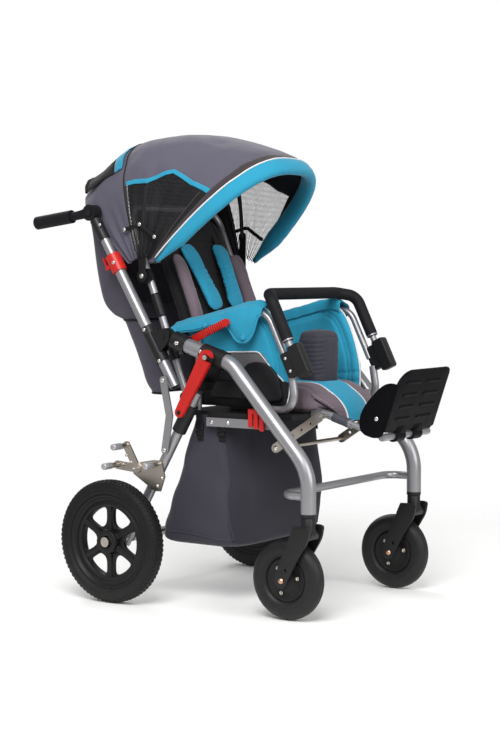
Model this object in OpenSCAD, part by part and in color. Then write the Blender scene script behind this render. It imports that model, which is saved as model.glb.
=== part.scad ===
// Folding special needs buggy with a padded seat, hood, bumper bar, raised legrest and storage bag.
// X points forward, Y to the rider's left, Z up; the floor is Z = 0.

/* [Rear wheels] */
// Outside diameter of a rear tyre
rear_wheel_d = 300; // [260:5:320]
// Width of a rear tyre
rear_tyre_w = 46; // [36:1:50]
// Radial height of a rear tyre's section
rear_tyre_h = 35; // [28:1:40]
// Distance from a side tube's middle to a rear tyre's middle
wheel_set = 64; // [56:1:83]
// Diameter of the rear axle
rear_axle_d = 16; // [12:1:18]
// Number of spokes in a rear rim
rear_spokes = 6; // [5:1:8]

/* [Front casters] */
// Outside diameter of a front tyre
front_wheel_d = 190; // [170:5:196]
// Width of a front tyre
front_tyre_w = 44; // [34:1:46]
// Radial height of a front tyre's section
front_tyre_h = 42; // [30:1:46]
// Distance the caster axle trails behind its stem
caster_trail = 54; // [40:1:60]
// Diameter of the caster stem
caster_stem_d = 16; // [12:1:18]
// Height of the fork's collar
fork_collar_h = 40; // [30:1:46]

/* [Side frame] */
// Distance between the middles of the two side tubes
frame_w = 494; // [484:2:520]
// Distance from the rear axle to the caster stems
stem_x = 526; // [516:1:540]
// Outside diameter of a side tube
leg_tube_d = 36; // [32:1:38]
// Wall of a side tube
leg_tube_wall = 2; // [1.5:0.5:3]
// Height of a front leg's lower end
leg_foot_h = 251; // [247:1:262]
// Height of the lower bend of a front leg
knee_h = 351; // [344:1:360]
// Share of the lower leg that its bend takes up
knee_share = 0.46; // [0.35:0.01:0.5]
// Forward place of the upper bend
elbow_x = 311; // [304:1:318]
// Height of the upper bend
elbow_h = 588; // [582:1:594]
// Share of the rail past the rear pivot that the upper bend takes up
elbow_share = 0.32; // [0.25:0.01:0.4]
// Forward place of the push tube's fold pivot
shoulder_x = 118; // [112:1:124]
// Height of the push tube's fold pivot
shoulder_h = 648; // [642:1:654]
// Diameter of the front cross bar
cross_bar_d = 19; // [16:1:22]
// Height of the front cross bar
cross_bar_h = 290; // [285:1:300]
// How far the front cross bar runs behind the stems
cross_bar_set = 74; // [66:1:84]

/* [Rear frame] */
// Diameter of a rear leg
rear_leg_d = 25; // [22:1:27]
// Wall of a rear leg
rear_leg_wall = 2; // [1.5:0.5:3]
// Thickness of a fold link
link_t = 4; // [3:0.5:5]
// Width of a fold link
link_w = 20; // [16:1:22]
// Thickness of a red lock lever
lock_t = 10; // [6:1:12]
// Diameter of a brake peg
peg_d = 14; // [10:1:16]
// Length of a brake peg
peg_len = 56; // [40:1:58]

/* [Push frame] */
// Backward lean of the push tubes in degrees
push_lean = 31.4; // [30:0.2:33]
// Diameter of a push tube
push_tube_d = 27; // [25:1:28]
// Wall of a push tube
push_tube_wall = 1.9; // [1.5:0.1:2.5]
// Length of a push tube above the fold pivot
push_up = 240; // [230:1:246]
// Length of a push tube below the fold pivot
push_down = 118; // [110:1:120]
// Height of the handle hinge above the pivot, along the tube
handle_up = 375; // [365:1:390]
// Length of a handle grip from its hinge
grip_len = 180; // [150:2:190]
// Diameter of a foam grip
grip_d = 33; // [28:1:36]
// Downward slope of the grips in degrees
grip_drop = 7.4; // [4:0.2:12]

/* [Seat] */
// Distance from a side tube's middle to the seat cushion's side
cushion_inset = 103; // [101:1:112]
// Length of the seat cushion
cushion_l = 316; // [300:2:320]
// Height of the seat cushion over the pan
cushion_h = 62; // [50:1:66]
// Height of the seat pan's top
pan_h = 470; // [468:1:476]
// Thickness of a side panel
panel_t = 26; // [18:1:27]
// Highest point of a side panel
panel_h = 728; // [710:1:740]
// Width of the pommel
pommel_w = 96; // [80:1:110]
// Depth of the pommel
pommel_l = 72; // [60:1:80]
// Height of the pommel
pommel_h = 126; // [110:1:140]
// Highest point of the bumper bar's foam
bumper_h = 765; // [755:1:780]
// Diameter of the bumper bar's foam
bumper_d = 28; // [24:1:32]

/* [Backrest and hood] */
// Backward lean of the backrest in degrees
back_lean = 22; // [18:1:24]
// Length of the backrest frame
back_l = 500; // [480:2:510]
// Distance from a side tube's middle to the backrest pad's side
back_pad_inset = 100; // [98:1:112]
// Thickness of the backrest pad
back_pad_t = 38; // [32:1:42]
// Distance from a side tube's middle to the hood's side
hood_inset = 23; // [22:1:31]
// Reach of the hood's front bow from its pivot
hood_front_r = 402; // [380:2:420]
// Reach of the hood's middle from its pivot
hood_mid_r = 348; // [335:1:360]
// Reach of the hood's rear bow from its pivot
hood_rear_r = 318; // [305:1:330]
// Angle of the front bow above the floor in degrees
hood_front_a = 42; // [36:1:46]
// Angle of the rear bow above the floor in degrees
hood_rear_a = 138; // [130:1:142]
// Thickness of the hood cloth with its lining
cloth_t = 3; // [2:0.5:4]
// Diameter of the padded front hem
hem_d = 30; // [24:1:34]

/* [Legrest] */
// Distance between the legrest tubes
legrest_w = 200; // [190:2:206]
// Diameter of a legrest tube
legrest_d = 19; // [17:1:21]
// Downward slope of the legrest in degrees
legrest_drop = 16.6; // [12:0.2:20]
// Distance from the legrest hinge to the footplate hinge
legrest_l = 180; // [172:1:200]
// Width of the footplate
foot_w = 232; // [224:2:250]
// Length of the footplate
foot_l = 149; // [140:1:170]
// Thickness of the footplate
foot_t = 7; // [5:1:9]
// Slope of the footplate above the floor in degrees
foot_a = 71.4; // [64:0.2:74]

/* [Storage bag] */
// Height of the bag's bottom above the floor
bag_floor_h = 140; // [130:2:170]
// Distance from a side tube's middle to the bag's side
bag_inset = 47; // [43:1:57]
// Thickness of the bag's cloth
bag_t = 5; // [4:0.5:6]

/* [Hidden] */
$fn = 64;
// sides of curves inside faceted blends
blend_fn = 24;
// overrun of every cut past the face it opens
over = 1;
// radial clearance of a running fit
fit = 0.06;
// clearance between pieces that move past each other
gap = 0.5;
// clearance of a fixed seat
seat_gap = 0.05;
// how much thicker a bar is round its bends
bend_swell = 0.15;

silver = [0.78, 0.79, 0.8];
black = [0.09, 0.09, 0.1];
red = [0.8, 0.12, 0.1];
zinc = [0.66, 0.6, 0.45];
grey_cloth = [0.34, 0.34, 0.38];
blue_cloth = [0.13, 0.6, 0.74];
mauve_cloth = [0.45, 0.4, 0.44];

// Places in the side plane are pairs of X and Z, with X counted from the rear axle.
function at(p, y) = [p[0], y, p[1]];
function heading(a) = [cos(a), sin(a)];
function unit(v) = v / norm(v);
function mix(a, b, s) = a + (b - a) * s;
function turned(v, a) = [v[0] * cos(a) - v[1] * sin(a), v[0] * sin(a) + v[1] * cos(a)];

side_y = frame_w / 2;
leg_r = leg_tube_d / 2;
axle = [0, rear_wheel_d / 2];
foot = [stem_x, leg_foot_h];
knee = [stem_x, knee_h];
elbow = [elbow_x, elbow_h];
shoulder = [shoulder_x, shoulder_h];
top_rail = unit(elbow - shoulder);
leg_slope = unit(knee - elbow);
knee_turn = acos(-leg_slope[1]);
knee_bend = knee_share * (knee_h - leg_foot_h) / tan(knee_turn / 2);
elbow_turn = acos(top_rail * leg_slope);

// rear leg: pivots on the top rail and runs straight to the axle
rear_pivot_share = 0.746;
rear_pivot = mix(shoulder, elbow, rear_pivot_share);
rear_leg = axle - rear_pivot;
rear_leg_l = norm(rear_leg);
rear_run = unit(rear_leg);
rear_side = [-rear_run[1], rear_run[0]];
rear_r = rear_leg_d / 2;
pivot_pin_r = leg_r / 3;
casting_wall = 4;
collar_wall = 5;
casting_r = leg_r + casting_wall;
elbow_bend = elbow_share * norm(elbow - rear_pivot) / tan(elbow_turn / 2);
casting_l = 2 * ((1 - elbow_share) * norm(elbow - rear_pivot) - over - gap);
cheek_t = 5.5;
cheek_in = casting_r + gap;
cheek_out = cheek_in + cheek_t;
head_reach = 74;
head_l = 22;
head_r = rear_r + casting_wall;
lock_pin_share = 0.294;
lock_pin = mix(rear_pivot, axle, lock_pin_share);
lock_pin_r = 5;
bracket_l = 74;
bracket_r = rear_r + collar_wall;
link_foot_share = 0.503;
link_foot = mix(rear_pivot, axle, link_foot_share);
link_y = side_y + bracket_r + gap;

// push tube: leans back, carried behind the fold pivot by its sleeve
push_run = heading(90 + push_lean);
push_back = heading(180 + push_lean);
push_set = 38;
push_foot = shoulder + push_back * push_set;
push_r = push_tube_d / 2;
push_bore_r = push_r - push_tube_wall;
handle_tube_r = push_bore_r - fit;
sleeve_l = 96;
sleeve_r = push_r + casting_wall;
lug_t = 14;
lug_r = 20;
lug_arm_t = 6;
collar_l = 46;
collar_r = push_r + collar_wall;
collar_lip = 12;
collar_top = push_up + collar_lip;
link_head_drop = 93;
link_head_set = 10;
link_head = push_foot - push_run * link_head_drop + push_back * link_head_set;
handle_hinge = push_foot + push_run * handle_up;
hinge_r = 20;
hinge_t = 14;
elbow_sleeve_wall = 3;
elbow_sleeve_l = 78;
elbow_sleeve_r = handle_tube_r + elbow_sleeve_wall;
elbow_sleeve_low = handle_up - elbow_sleeve_l;
grip_run = heading(180 + grip_drop);
grip_r = grip_d / 2;
grip_arm_r = 11;
button_r = 8;
button_l = 9;
button_travel = 3;

// seat
rail_t = 5;
rail_h = 21;
rail_y = side_y - leg_r;
rail_rear_x = 225;
rail_front_x = 431;
rail_z = 436;
pan_t = 12;
pan_rear_x = 132;
pan_front_x = 452;
pan_inset = 43;
pan_half_w = side_y - pan_inset;
pan_flange_t = 6;
pan_flange_front_x = 338;
cushion_rear_x = 176;
panel_gap = 6;
cushion_w = frame_w - 2 * cushion_inset;
panel_y = cushion_w / 2 + panel_gap;
panel_rear_x = 118;
panel_front_x = 428;
bumper_inset = 54;
bumper_y = side_y - bumper_inset;
bumper_tube_r = 8;
upright_r = 9.5;
socket_low = [474, 562];
socket_high = [439, 634];
socket_run = unit(socket_high - socket_low);
socket_depth = 34;
socket_half_w = 14;
socket_block_l = 58;
socket_block_h = 68;
bumper_corner = [386.5, 742];
bumper_top_x = 352;
bumper_draw = 43;
bumper_top_y = bumper_y - bumper_draw;
pommel_x = 398;

// backrest and hood
back_hinge = [140, 500];
back_run = heading(90 + back_lean);
back_out = heading(back_lean);
back_tube_r = 9.5;
back_inset = 59;
back_tube_y = side_y - back_inset;
back_pad_w = frame_w - 2 * back_pad_inset;
back_pin_r = 6;
back_pad_low = 46;
hood_pivot_up = 316;
hood_pivot = back_hinge + back_run * hood_pivot_up;
hood_disc_r = 19;
hood_bow_r = 5;
hood_hub_set = 11;
hood_hub_y = back_tube_y + hood_hub_set;
hood_half_w = side_y - hood_inset;
hood_disc_t = 9;
stay_share = 0.3;
stay_rear_a = 18;
stay_front_a = 10;
stay_t = 4;
stay_w = 16;

// legrest
legrest_hinge = [466, 473];
legrest_run = heading(-legrest_drop);
legrest_y = legrest_w / 2;
legrest_r = legrest_d / 2;
legrest_wall = 2;
legrest_plug = 4;
legrest_barrel_wall = 1;
foot_tube_share = 0.4;
legrest_pin_r = 5;
legrest_outer_l = 92;
foot_tube_r = legrest_r - legrest_wall - fit;
foot_hinge = legrest_hinge + legrest_run * legrest_l;
foot_bar_r = 9;
foot_run = heading(foot_a);
foot_lift = 16;
strut_share = 0.16;
strut_pin = legrest_hinge + legrest_run * legrest_l * strut_share;
strut_foot = [372, 385];
strut_set = 48;
strut_y = legrest_y + strut_set;
strut_t = 4;
strut_w = 22;
strut_rod_r = 5;

// wheels
rear_r_out = rear_wheel_d / 2;
rear_y = side_y + wheel_set;
rear_rim_r = rear_r_out - rear_tyre_h;
rear_hub_r = 30;
front_r_out = front_wheel_d / 2;
front_axle = [stem_x - caster_trail, front_r_out];
front_rim_r = front_r_out - front_tyre_h;
stem_r = caster_stem_d / 2;
fork_gap = 4;
fork_t = 7;
fork_ring_h = 8;
fork_collar_r = leg_r;
fork_top = leg_foot_h - fork_ring_h - gap;
bush_share = 0.4;
bush_l = bush_share * (knee_h - leg_foot_h);
axle_pin_r = 5;

// the origin lies under the middle of the part's length
rear_reach = handle_hinge[0] + grip_run[0] * grip_len - grip_r * sin(grip_drop);
foot_tip = foot_hinge + foot_run * (foot_l + foot_lift);
front_reach = foot_tip[0] + foot_t * sin(foot_a);
mid_x = (rear_reach + front_reach) / 2;

module seated() {
    translate([-mid_x, 0, 0])
        children();
}

module both() {
    seated() {
        children();
        mirror([0, 1, 0])
            children();
    }
}

module on_side(side) {
    seated()
        mirror([0, side > 0 ? 0 : 1, 0])
            children();
}

// straight round bar between two points
module rod(p, q, r) {
    v = q - p;
    h = norm(v);
    translate(p)
        rotate([0, acos(v[2] / h), atan2(v[1], v[0])])
            cylinder(h = h, r = r);
}

// round bar across Y at a place in the side plane
module cross_rod(p, y_from, y_to, r) {
    rod(at(p, y_from), at(p, y_to), r);
}

function turn(path, i) = acos(unit(path[i] - path[i - 1]) * unit(path[i + 1] - path[i]));
function trim(path, i, bends) = i == 0 || i == len(path) - 1 ? 0 : bends[i - 1] * tan(turn(path, i) / 2) - over;

// part of a ring that carries a bar round the corner b
module bend_piece(a, b, c, bend, r) {
    u = unit(b - a);
    v = unit(c - b);
    sweep = acos(u * v);
    start = b - u * bend * tan(sweep / 2);
    e = -unit(v - u * (u * v));
    mid = start - e * bend;
    n = cross(e, u);
    multmatrix([
        [e[0], u[0], n[0], mid[0]],
        [e[1], u[1], n[1], mid[1]],
        [e[2], u[2], n[2], mid[2]],
        [0, 0, 0, 1]
    ])
        rotate_extrude(angle = sweep)
            translate([bend, 0])
                circle(r = r);
}

// round bar along a path, with a bend radius for each corner; the bends are a hair thicker than the straights
module bent_rod(path, bends, r) {
    last = len(path) - 1;
    for (i = [0:last - 1]) {
        u = unit(path[i + 1] - path[i]);
        rod(path[i] + u * trim(path, i, bends), path[i + 1] - u * trim(path, i + 1, bends), r);
    }
    for (i = [1:1:last - 1])
        bend_piece(path[i - 1], path[i], path[i + 1], bends[i - 1], r + bend_swell);
}

function stretched(path) = let (n = len(path) - 1) [
    for (i = [0:n])
        i == 0 ? path[0] - unit(path[1] - path[0]) * over
        : i == n ? path[n] + unit(path[n] - path[n - 1]) * over
        : path[i]
];

// flat plate with an outline in the side plane, from y_from outwards
module plate(outline, y_from, t) {
    translate([0, y_from + t, 0])
        rotate([90, 0, 0])
            linear_extrude(height = t)
                polygon(outline);
}

// outline of a straight bar with square ends between two places
function bar_outline(p, q, w_p, w_q) = let (u = unit(q - p), s = [-u[1], u[0]])
    [p + s * w_p / 2, p - s * w_p / 2, q - s * w_q / 2, q + s * w_q / 2];

// flat bar with round ends
module link_bar(p, q, w, y_from, t) {
    plate(bar_outline(p, q, w, w), y_from, t);
    cross_rod(p, y_from, y_from + t, w / 2);
    cross_rod(q, y_from, y_from + t, w / 2);
}

// closed skin between two grids of points that have the same rows and columns
module skin(outer, inner) {
    rows = len(outer);
    cols = len(outer[0]);
    n = rows * cols;
    rim = concat(
        [for (j = [0:cols - 2]) j],
        [for (i = [0:rows - 2]) i * cols + cols - 1],
        [for (j = [cols - 1:-1:1]) (rows - 1) * cols + j],
        [for (i = [rows - 1:-1:1]) i * cols]
    );
    grid = [
        for (i = [0:rows - 2], j = [0:cols - 2])
            let (a = i * cols + j) each [[a, a + 1, a + cols + 1], [a, a + cols + 1, a + cols]]
    ];
    edge = [
        for (k = [0:len(rim) - 1])
            let (a = rim[k], b = rim[(k + 1) % len(rim)]) each [[b, a, a + n], [b, a + n, b + n]]
    ];
    polyhedron(
        points = concat([for (row = outer) each row], [for (row = inner) each row]),
        faces = concat(grid, [for (f = grid) [f[2] + n, f[1] + n, f[0] + n]], edge)
    );
}

// Grid places run from -1 to 1; steps crowd together near the rim so that it rounds off.
function spread(i, n) = sin(-90 + 180 * i / n);
// share of the full crown at a place on a pad
function crown(u, v, fullness) = pow((1 - pow(abs(u), fullness)) * (1 - pow(abs(v), fullness)), 1 / 2);
// sewn channel: a narrow dip along one line of a pad
function dip(u, line, width_share) = exp(-pow((u - line) / width_share, 2));

// Front legs with the top rails

rail_end_share = 1.6;
rail_end = shoulder + top_rail * lug_r * rail_end_share;
side_path = [at(foot, side_y), at(knee, side_y), at(elbow, side_y), at(rail_end, side_y)];

module side_tube() {
    difference() {
        bent_rod(side_path, [knee_bend, elbow_bend], leg_r);
        bent_rod(stretched(side_path), [knee_bend, elbow_bend], leg_r - leg_tube_wall);
        cross_rod(rear_pivot, side_y - casting_r, side_y + casting_r, pivot_pin_r + seat_gap);
    }
}

module side_tubes() {
    color(silver)
        both()
            side_tube();
}

// Root half of the shoulder joint: a socket on the rail's end with a tongue round the fold pivot

lug_socket_l = 40;
lug_neck = 8;
lug_neck_share = 1.7;

module shoulder_lug() {
    mouth = shoulder + top_rail * (lug_r + lug_neck);
    difference() {
        union() {
            cross_rod(shoulder, side_y - lug_t / 2, side_y + lug_t / 2, lug_r);
            plate(bar_outline(shoulder, mouth + top_rail * lug_t, lug_r * lug_neck_share, leg_r * 2), side_y - lug_t / 2, lug_t);
            rod(at(mouth, side_y), at(mouth + top_rail * lug_socket_l, side_y), casting_r);
        }
        rod(at(rail_end, side_y), at(mouth + top_rail * (lug_socket_l + over), side_y), leg_r + seat_gap);
        cross_rod(shoulder, side_y - lug_t, side_y + lug_t, pivot_pin_r + fit);
    }
}

module shoulder_lugs() {
    color(black)
        both()
            shoulder_lug();
}

// Elbow castings that carry the rear legs' pivots

module elbow_casting() {
    a = rear_pivot - top_rail * casting_l / 2;
    b = rear_pivot + top_rail * casting_l / 2;
    difference() {
        rod(at(a, side_y), at(b, side_y), casting_r);
        rod(at(a - top_rail * over, side_y), at(b + top_rail * over, side_y), leg_r + seat_gap);
        cross_rod(rear_pivot, side_y - casting_r, side_y + casting_r, pivot_pin_r + seat_gap);
    }
}

module elbow_castings() {
    color(black)
        both()
            elbow_casting();
}

// Flat U bar behind the front legs, saddled onto them

module front_cross_bar() {
    bar_x = stem_x - cross_bar_set;
    bend = cross_bar_d * 2;
    color(silver)
        seated()
            difference() {
                bent_rod([
                    [stem_x, -side_y, cross_bar_h], [bar_x, -side_y, cross_bar_h],
                    [bar_x, side_y, cross_bar_h], [stem_x, side_y, cross_bar_h]
                ], [bend, bend], cross_bar_d / 2);
                for (s = [-1, 1])
                    translate([stem_x, s * side_y, leg_foot_h])
                        cylinder(h = knee_h - leg_foot_h, r = leg_r + seat_gap);
            }
}

// Bush and spacer ring for each caster stem

module caster_bush() {
    translate([stem_x, side_y, 0])
        difference() {
            union() {
                translate([0, 0, leg_foot_h])
                    cylinder(h = bush_l, r = leg_r - leg_tube_wall - seat_gap);
                translate([0, 0, leg_foot_h - fork_ring_h])
                    cylinder(h = fork_ring_h - seat_gap, r = leg_r);
                translate([0, 0, leg_foot_h - fork_ring_h])
                    cylinder(h = fork_ring_h + over, r = leg_r - leg_tube_wall - seat_gap);
            }
            translate([0, 0, leg_foot_h - fork_ring_h - over])
                cylinder(h = bush_l + fork_ring_h + 2 * over, r = stem_r + fit);
        }
}

module caster_bushes() {
    color(zinc)
        both()
            caster_bush();
}

// Flat seat rails, curved uprights, arm loops, legrest ears

arm_set = 6;
arm_y = bumper_y - arm_set;
upright_l = 112;
upright_set = 2;
upright_bend = 38;
upright_top = [440, 568];
upright_path = [
    [pan_front_x - upright_l, arm_y, pan_h + upright_r + seat_gap],
    [pan_front_x + upright_set, arm_y, pan_h + upright_r + seat_gap],
    at(upright_top, arm_y)
];
arm_r = 8;
arm_bend = 45;
arm_rear = [172, 668];
arm_front = [368, 715.5];
arm_foot = [431, 586];
arm_path = [
    [arm_rear[0], arm_y, pan_h + seat_gap], at(arm_rear, arm_y), at(arm_front, arm_y), at(arm_foot, arm_y)
];
ear_t = 5;
ear_w = 24;
ear_gap = 16;

module seat_rail() {
    plate([
        [rail_rear_x, rail_z], [rail_front_x, rail_z],
        [rail_front_x, rail_z + rail_h], [rail_rear_x, rail_z + rail_h]
    ], rail_y - rail_t - seat_gap, rail_t);
}

module legrest_ear(y_from) {
    difference() {
        link_bar(legrest_hinge, legrest_hinge - [ear_w, 0], ear_w, y_from, ear_t);
        translate([pan_rear_x, y_from - over, rail_z])
            cube([pan_front_x - pan_rear_x + seat_gap, ear_t + 2 * over, pan_h - rail_z + ear_w]);
    }
}

module seat_frame() {
    color(silver)
        both() {
            seat_rail();
            bent_rod(upright_path, [upright_bend], upright_r);
            bent_rod(arm_path, [arm_bend, arm_bend], arm_r);
            for (y = [legrest_y - ear_gap - ear_t, legrest_y + ear_gap])
                legrest_ear(y);
            cross_rod(
                legrest_hinge, legrest_y - ear_gap - ear_t, legrest_y + ear_gap + ear_t, legrest_pin_r
            );
        }
}

// Seat pan with side flanges and hinge ears for the backrest

back_ear_gap = 1;
back_ear_w = 25;
back_ear_y = back_tube_y + back_tube_r + back_ear_gap;
back_ear_t = 6;

module pan_side() {
    translate([rail_rear_x, rail_y - rail_t - pan_flange_t - 2 * seat_gap, rail_z])
        cube([pan_flange_front_x - rail_rear_x, pan_flange_t, pan_h - rail_z]);
    translate([rail_rear_x, 0, pan_h - pan_t])
        cube([pan_flange_front_x - rail_rear_x, rail_y - rail_t - pan_flange_t, pan_t]);
    difference() {
        link_bar(back_hinge, [back_hinge[0] + back_ear_t, pan_h - pan_t], back_ear_w, back_ear_y, back_ear_t);
        cross_rod(back_hinge, back_ear_y - over, back_ear_y + back_ear_t + over, back_pin_r + fit);
    }
}

module seat_pan() {
    color(black) {
        both()
            pan_side();
        seated()
            translate([pan_rear_x, -pan_half_w, pan_h - pan_t])
                cube([pan_front_x - pan_rear_x, 2 * pan_half_w, pan_t]);
    }
}

// Black sockets that hold the bumper bar's necks

module bumper_socket() {
    lean = atan2(socket_run[1], socket_run[0]) - 90;
    l = norm(socket_high - socket_low);
    difference() {
        union() {
            translate(at(socket_low, bumper_y))
                rotate([0, -lean, 0]) {
                    translate([-socket_depth / 2, -socket_half_w, 0])
                        cube([socket_depth, 2 * socket_half_w, l]);
                    translate([-socket_block_l, -arm_set - arm_r - casting_wall / 2, 2 * casting_wall])
                        cube([socket_block_l - socket_depth / 2 + over, 2 * arm_r + casting_wall, socket_block_h]);
                }
        }
        rod(
            at(socket_low + socket_run * casting_wall, bumper_y),
            at(socket_high + socket_run * over, bumper_y), bumper_tube_r + fit
        );
        bent_rod(upright_path, [upright_bend], upright_r + seat_gap);
        bent_rod(arm_path, [arm_bend, arm_bend], arm_r + seat_gap);
    }
}

module bumper_sockets() {
    color(black)
        both()
            bumper_socket();
}

// Seat cushion: crowned, drawn in between its corners, with a front roll and two sewn channels

cushion_rows = 18;
cushion_cols = 18;
cushion_edge_share = 0.5;
cushion_draw_share = 0.05;
cushion_channel_share = 0.12;
cushion_channel_line = 0.45;
channel_width_share = 0.07;
cushion_fullness = 4;
cushion_nose_lift = 17;
cushion_nose_x = 436;
cushion_nose_run = 14;

function cushion_top(u, v) = let (
        draw = 1 - cushion_draw_share * (1 - u * u),
        full = crown(u, v, cushion_fullness),
        seam = dip(abs(v), cushion_channel_line, channel_width_share)
    )
    [
        cushion_rear_x + cushion_l * (u + 1) / 2,
        v * draw * cushion_w / 2,
        pan_h + gap
            + cushion_h * (cushion_edge_share + (1 - cushion_edge_share - cushion_channel_share * seam) * full)
    ];

// the underside steps up in front to clear the legrest hinge
function nose(x) = cushion_nose_lift * min(1, max(0, (x - cushion_nose_x) / cushion_nose_run));

module seat_cushion() {
    us = [for (i = [0:cushion_rows]) spread(i, cushion_rows)];
    vs = [for (j = [0:cushion_cols]) spread(j, cushion_cols)];
    top = [for (u = us) [for (v = vs) cushion_top(u, v)]];
    bottom = [for (row = top) [for (p = row) [p[0], p[1], pan_h + gap + nose(p[0])]]];
    color(mauve_cloth)
        seated()
            skin(top, bottom);
}

// Padded side panels: low at the front, high behind, puffed on both faces

panel_rows = 12;
panel_cols = 14;
panel_puff_share = 0.3;
panel_seam_share = 0.25;
panel_seam_width_share = 0.06;
panel_fullness = 3;
panel_top_shares = [[0, 0.79], [0.3, 0.89], [0.6, 0.98], [0.74, 1], [0.82, 0.93], [0.9, 0.72], [1, 0.4]];

function panel_top(s) = mix(pan_h, panel_h, lookup(s, panel_top_shares));

function panel_place(u, v) = let (s = (u + 1) / 2, h = (v + 1) / 2)
    [mix(panel_rear_x, panel_front_x, s), mix(pan_h + gap, panel_top(s), h)];

function panel_half_t(u, v) = let (full = crown(u, v, panel_fullness))
    panel_t / 2 * (
        1 - panel_puff_share + panel_puff_share * full
        - panel_seam_share * dip(abs(u), 1 / 3, panel_seam_width_share) * full
    );

module side_panel() {
    us = [for (i = [0:panel_cols]) spread(i, panel_cols)];
    vs = [for (j = [0:panel_rows]) spread(j, panel_rows)];
    mid_y = panel_y + panel_t / 2;
    outer = [for (u = us) [for (v = vs) at(panel_place(u, v), mid_y + panel_half_t(u, v))]];
    inner = [for (u = us) [for (v = vs) at(panel_place(u, v), mid_y - panel_half_t(u, v))]];
    skin(outer, inner);
}

module side_panels() {
    color(blue_cloth)
        both()
            side_panel();
}

// Storage bag: an open tub of cloth hung under the seat rails

bag_top_z = pan_h - pan_t - gap;
bag_top_rear_x = 178;
bag_top_front_x = 268;
bag_low_rear_x = 50;
bag_low_front_x = 292;
bag_w = frame_w - 2 * bag_inset;
bag_draw = 24;
bag_low_half_w = bag_w / 2 - bag_draw;
bag_sag = 80;
bag_round = 33;

module bag_solid(inset, lift) {
    hull() {
        translate([bag_top_rear_x + inset, -bag_w / 2 + inset, bag_top_z - over + lift])
            cube([bag_top_front_x - bag_top_rear_x - 2 * inset, bag_w - 2 * inset, over]);
        translate([bag_low_rear_x + inset, -bag_low_half_w + inset, bag_floor_h + bag_sag])
            cube([bag_low_front_x - bag_low_rear_x - 2 * inset, 2 * (bag_low_half_w - inset), over]);
        translate([bag_low_rear_x + bag_round, -bag_low_half_w + bag_round, bag_floor_h + inset])
            cube([bag_low_front_x - bag_low_rear_x - 2 * bag_round, 2 * (bag_low_half_w - bag_round), over]);
    }
}

module storage_bag() {
    color(grey_cloth)
        seated()
            difference() {
                bag_solid(0, 0);
                bag_solid(bag_t, over);
            }
}

// Pins and rivet heads on the front frame

rivet_r = 5;
rivet_h = 2.5;

module frame_rivet(p, y_face) {
    translate(at(p, y_face))
        rotate([-90, 0, 0])
            cylinder(h = rivet_h, r1 = rivet_r, r2 = rivet_r / 2);
}

module frame_rivets() {
    rail_rivet_share = 0.3;
    color(silver)
        both() {
            cross_rod(rear_pivot, side_y - cheek_out - rivet_h, side_y + cheek_out + gap + lock_t + rivet_h, pivot_pin_r);
            frame_rivet([mix(rail_rear_x, rail_front_x, rail_rivet_share), rail_z + rail_h / 2], rail_y - seat_gap);
            frame_rivet(shoulder + top_rail * (lug_r + lug_neck + lug_socket_l / 2), side_y + casting_r + seat_gap);
            cross_rod(recline_pin, side_y - leg_r - recline_stud, side_y - casting_r - seat_gap, recline_pin_r);
            cross_rod(
                tilt_pin, rail_y - rail_t - tilt_t - 3 * gap, rail_y - rail_t - 2 * seat_gap, tilt_pin_r
            );
        }
}

// Rear legs with a bore for the axle

module rear_leg_tube() {
    start = rear_pivot + rear_run * head_reach;
    end = axle + rear_run * (rear_r + casting_wall);
    difference() {
        rod(at(start, side_y), at(end, side_y), rear_r);
        rod(at(start - rear_run * over, side_y), at(end + rear_run * over, side_y), rear_r - rear_leg_wall);
        cross_rod(axle, side_y - rear_leg_d, side_y + rear_leg_d, rear_axle_d / 2 + seat_gap);
    }
}

module rear_legs() {
    color(silver)
        both()
            rear_leg_tube();
}

// Forked heads at the elbow pivots, and the lock brackets lower down

module leg_head() {
    start = rear_pivot + rear_run * (head_reach - head_l / 2);
    end = rear_pivot + rear_run * (head_reach + head_l);
    difference() {
        union() {
            for (y = [side_y + cheek_in, side_y - cheek_out])
                link_bar(rear_pivot, start + rear_run * head_l / 2, head_r * 2, y, cheek_t);
            translate(at(start, side_y))
                rotate([0, 90 - atan2(rear_run[1], rear_run[0]), 0])
                    translate([-head_r, -cheek_out, 0])
                        cube([head_r * 2, cheek_out * 2, head_l]);
            rod(at(start, side_y), at(end, side_y), head_r);
        }
        rod(
            at(rear_pivot + rear_run * head_reach, side_y), at(end + rear_run * over, side_y), rear_r + seat_gap
        );
        cross_rod(rear_pivot, side_y - cheek_out - over, side_y + cheek_out + over, pivot_pin_r + fit);
    }
}

module lock_bracket() {
    a = lock_pin - rear_run * bracket_l / 4;
    b = lock_pin + rear_run * bracket_l * 3 / 4;
    difference() {
        rod(at(a, side_y), at(b, side_y), bracket_r);
        rod(at(a - rear_run * over, side_y), at(b + rear_run * over, side_y), rear_r + seat_gap);
    }
    cross_rod(lock_pin, side_y + rear_r + rear_leg_wall, lock_y + lock_t + rivet_h, lock_pin_r);
    cross_rod(link_foot, side_y + rear_r + seat_gap, link_y + link_t + rivet_h, lock_pin_r);
}

module rear_leg_brackets() {
    color(black)
        both() {
            leg_head();
            lock_bracket();
        }
}

// Rear axle, thicker between the legs, with end caps

axle_cap_t = 4;
axle_tube_wall = 3;
rear_hub_out = rear_y + rear_tyre_w / 2 + gap;

module rear_axle() {
    color(silver)
        seated() {
            cross_rod(axle, -rear_hub_out - axle_cap_t / 2, rear_hub_out + axle_cap_t / 2, rear_axle_d / 2);
            cross_rod(axle, -side_y + rear_r + gap, side_y - rear_r - gap, rear_axle_d / 2 + axle_tube_wall);
            for (s = [-1, 1])
                cross_rod(axle, s * rear_hub_out, s * (rear_hub_out + axle_cap_t), rear_axle_d / 2 + axle_cap_t);
        }
}

// Brake: a bracket plate on the rear leg with a fixed peg, and a claw lever with two pegs

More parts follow.
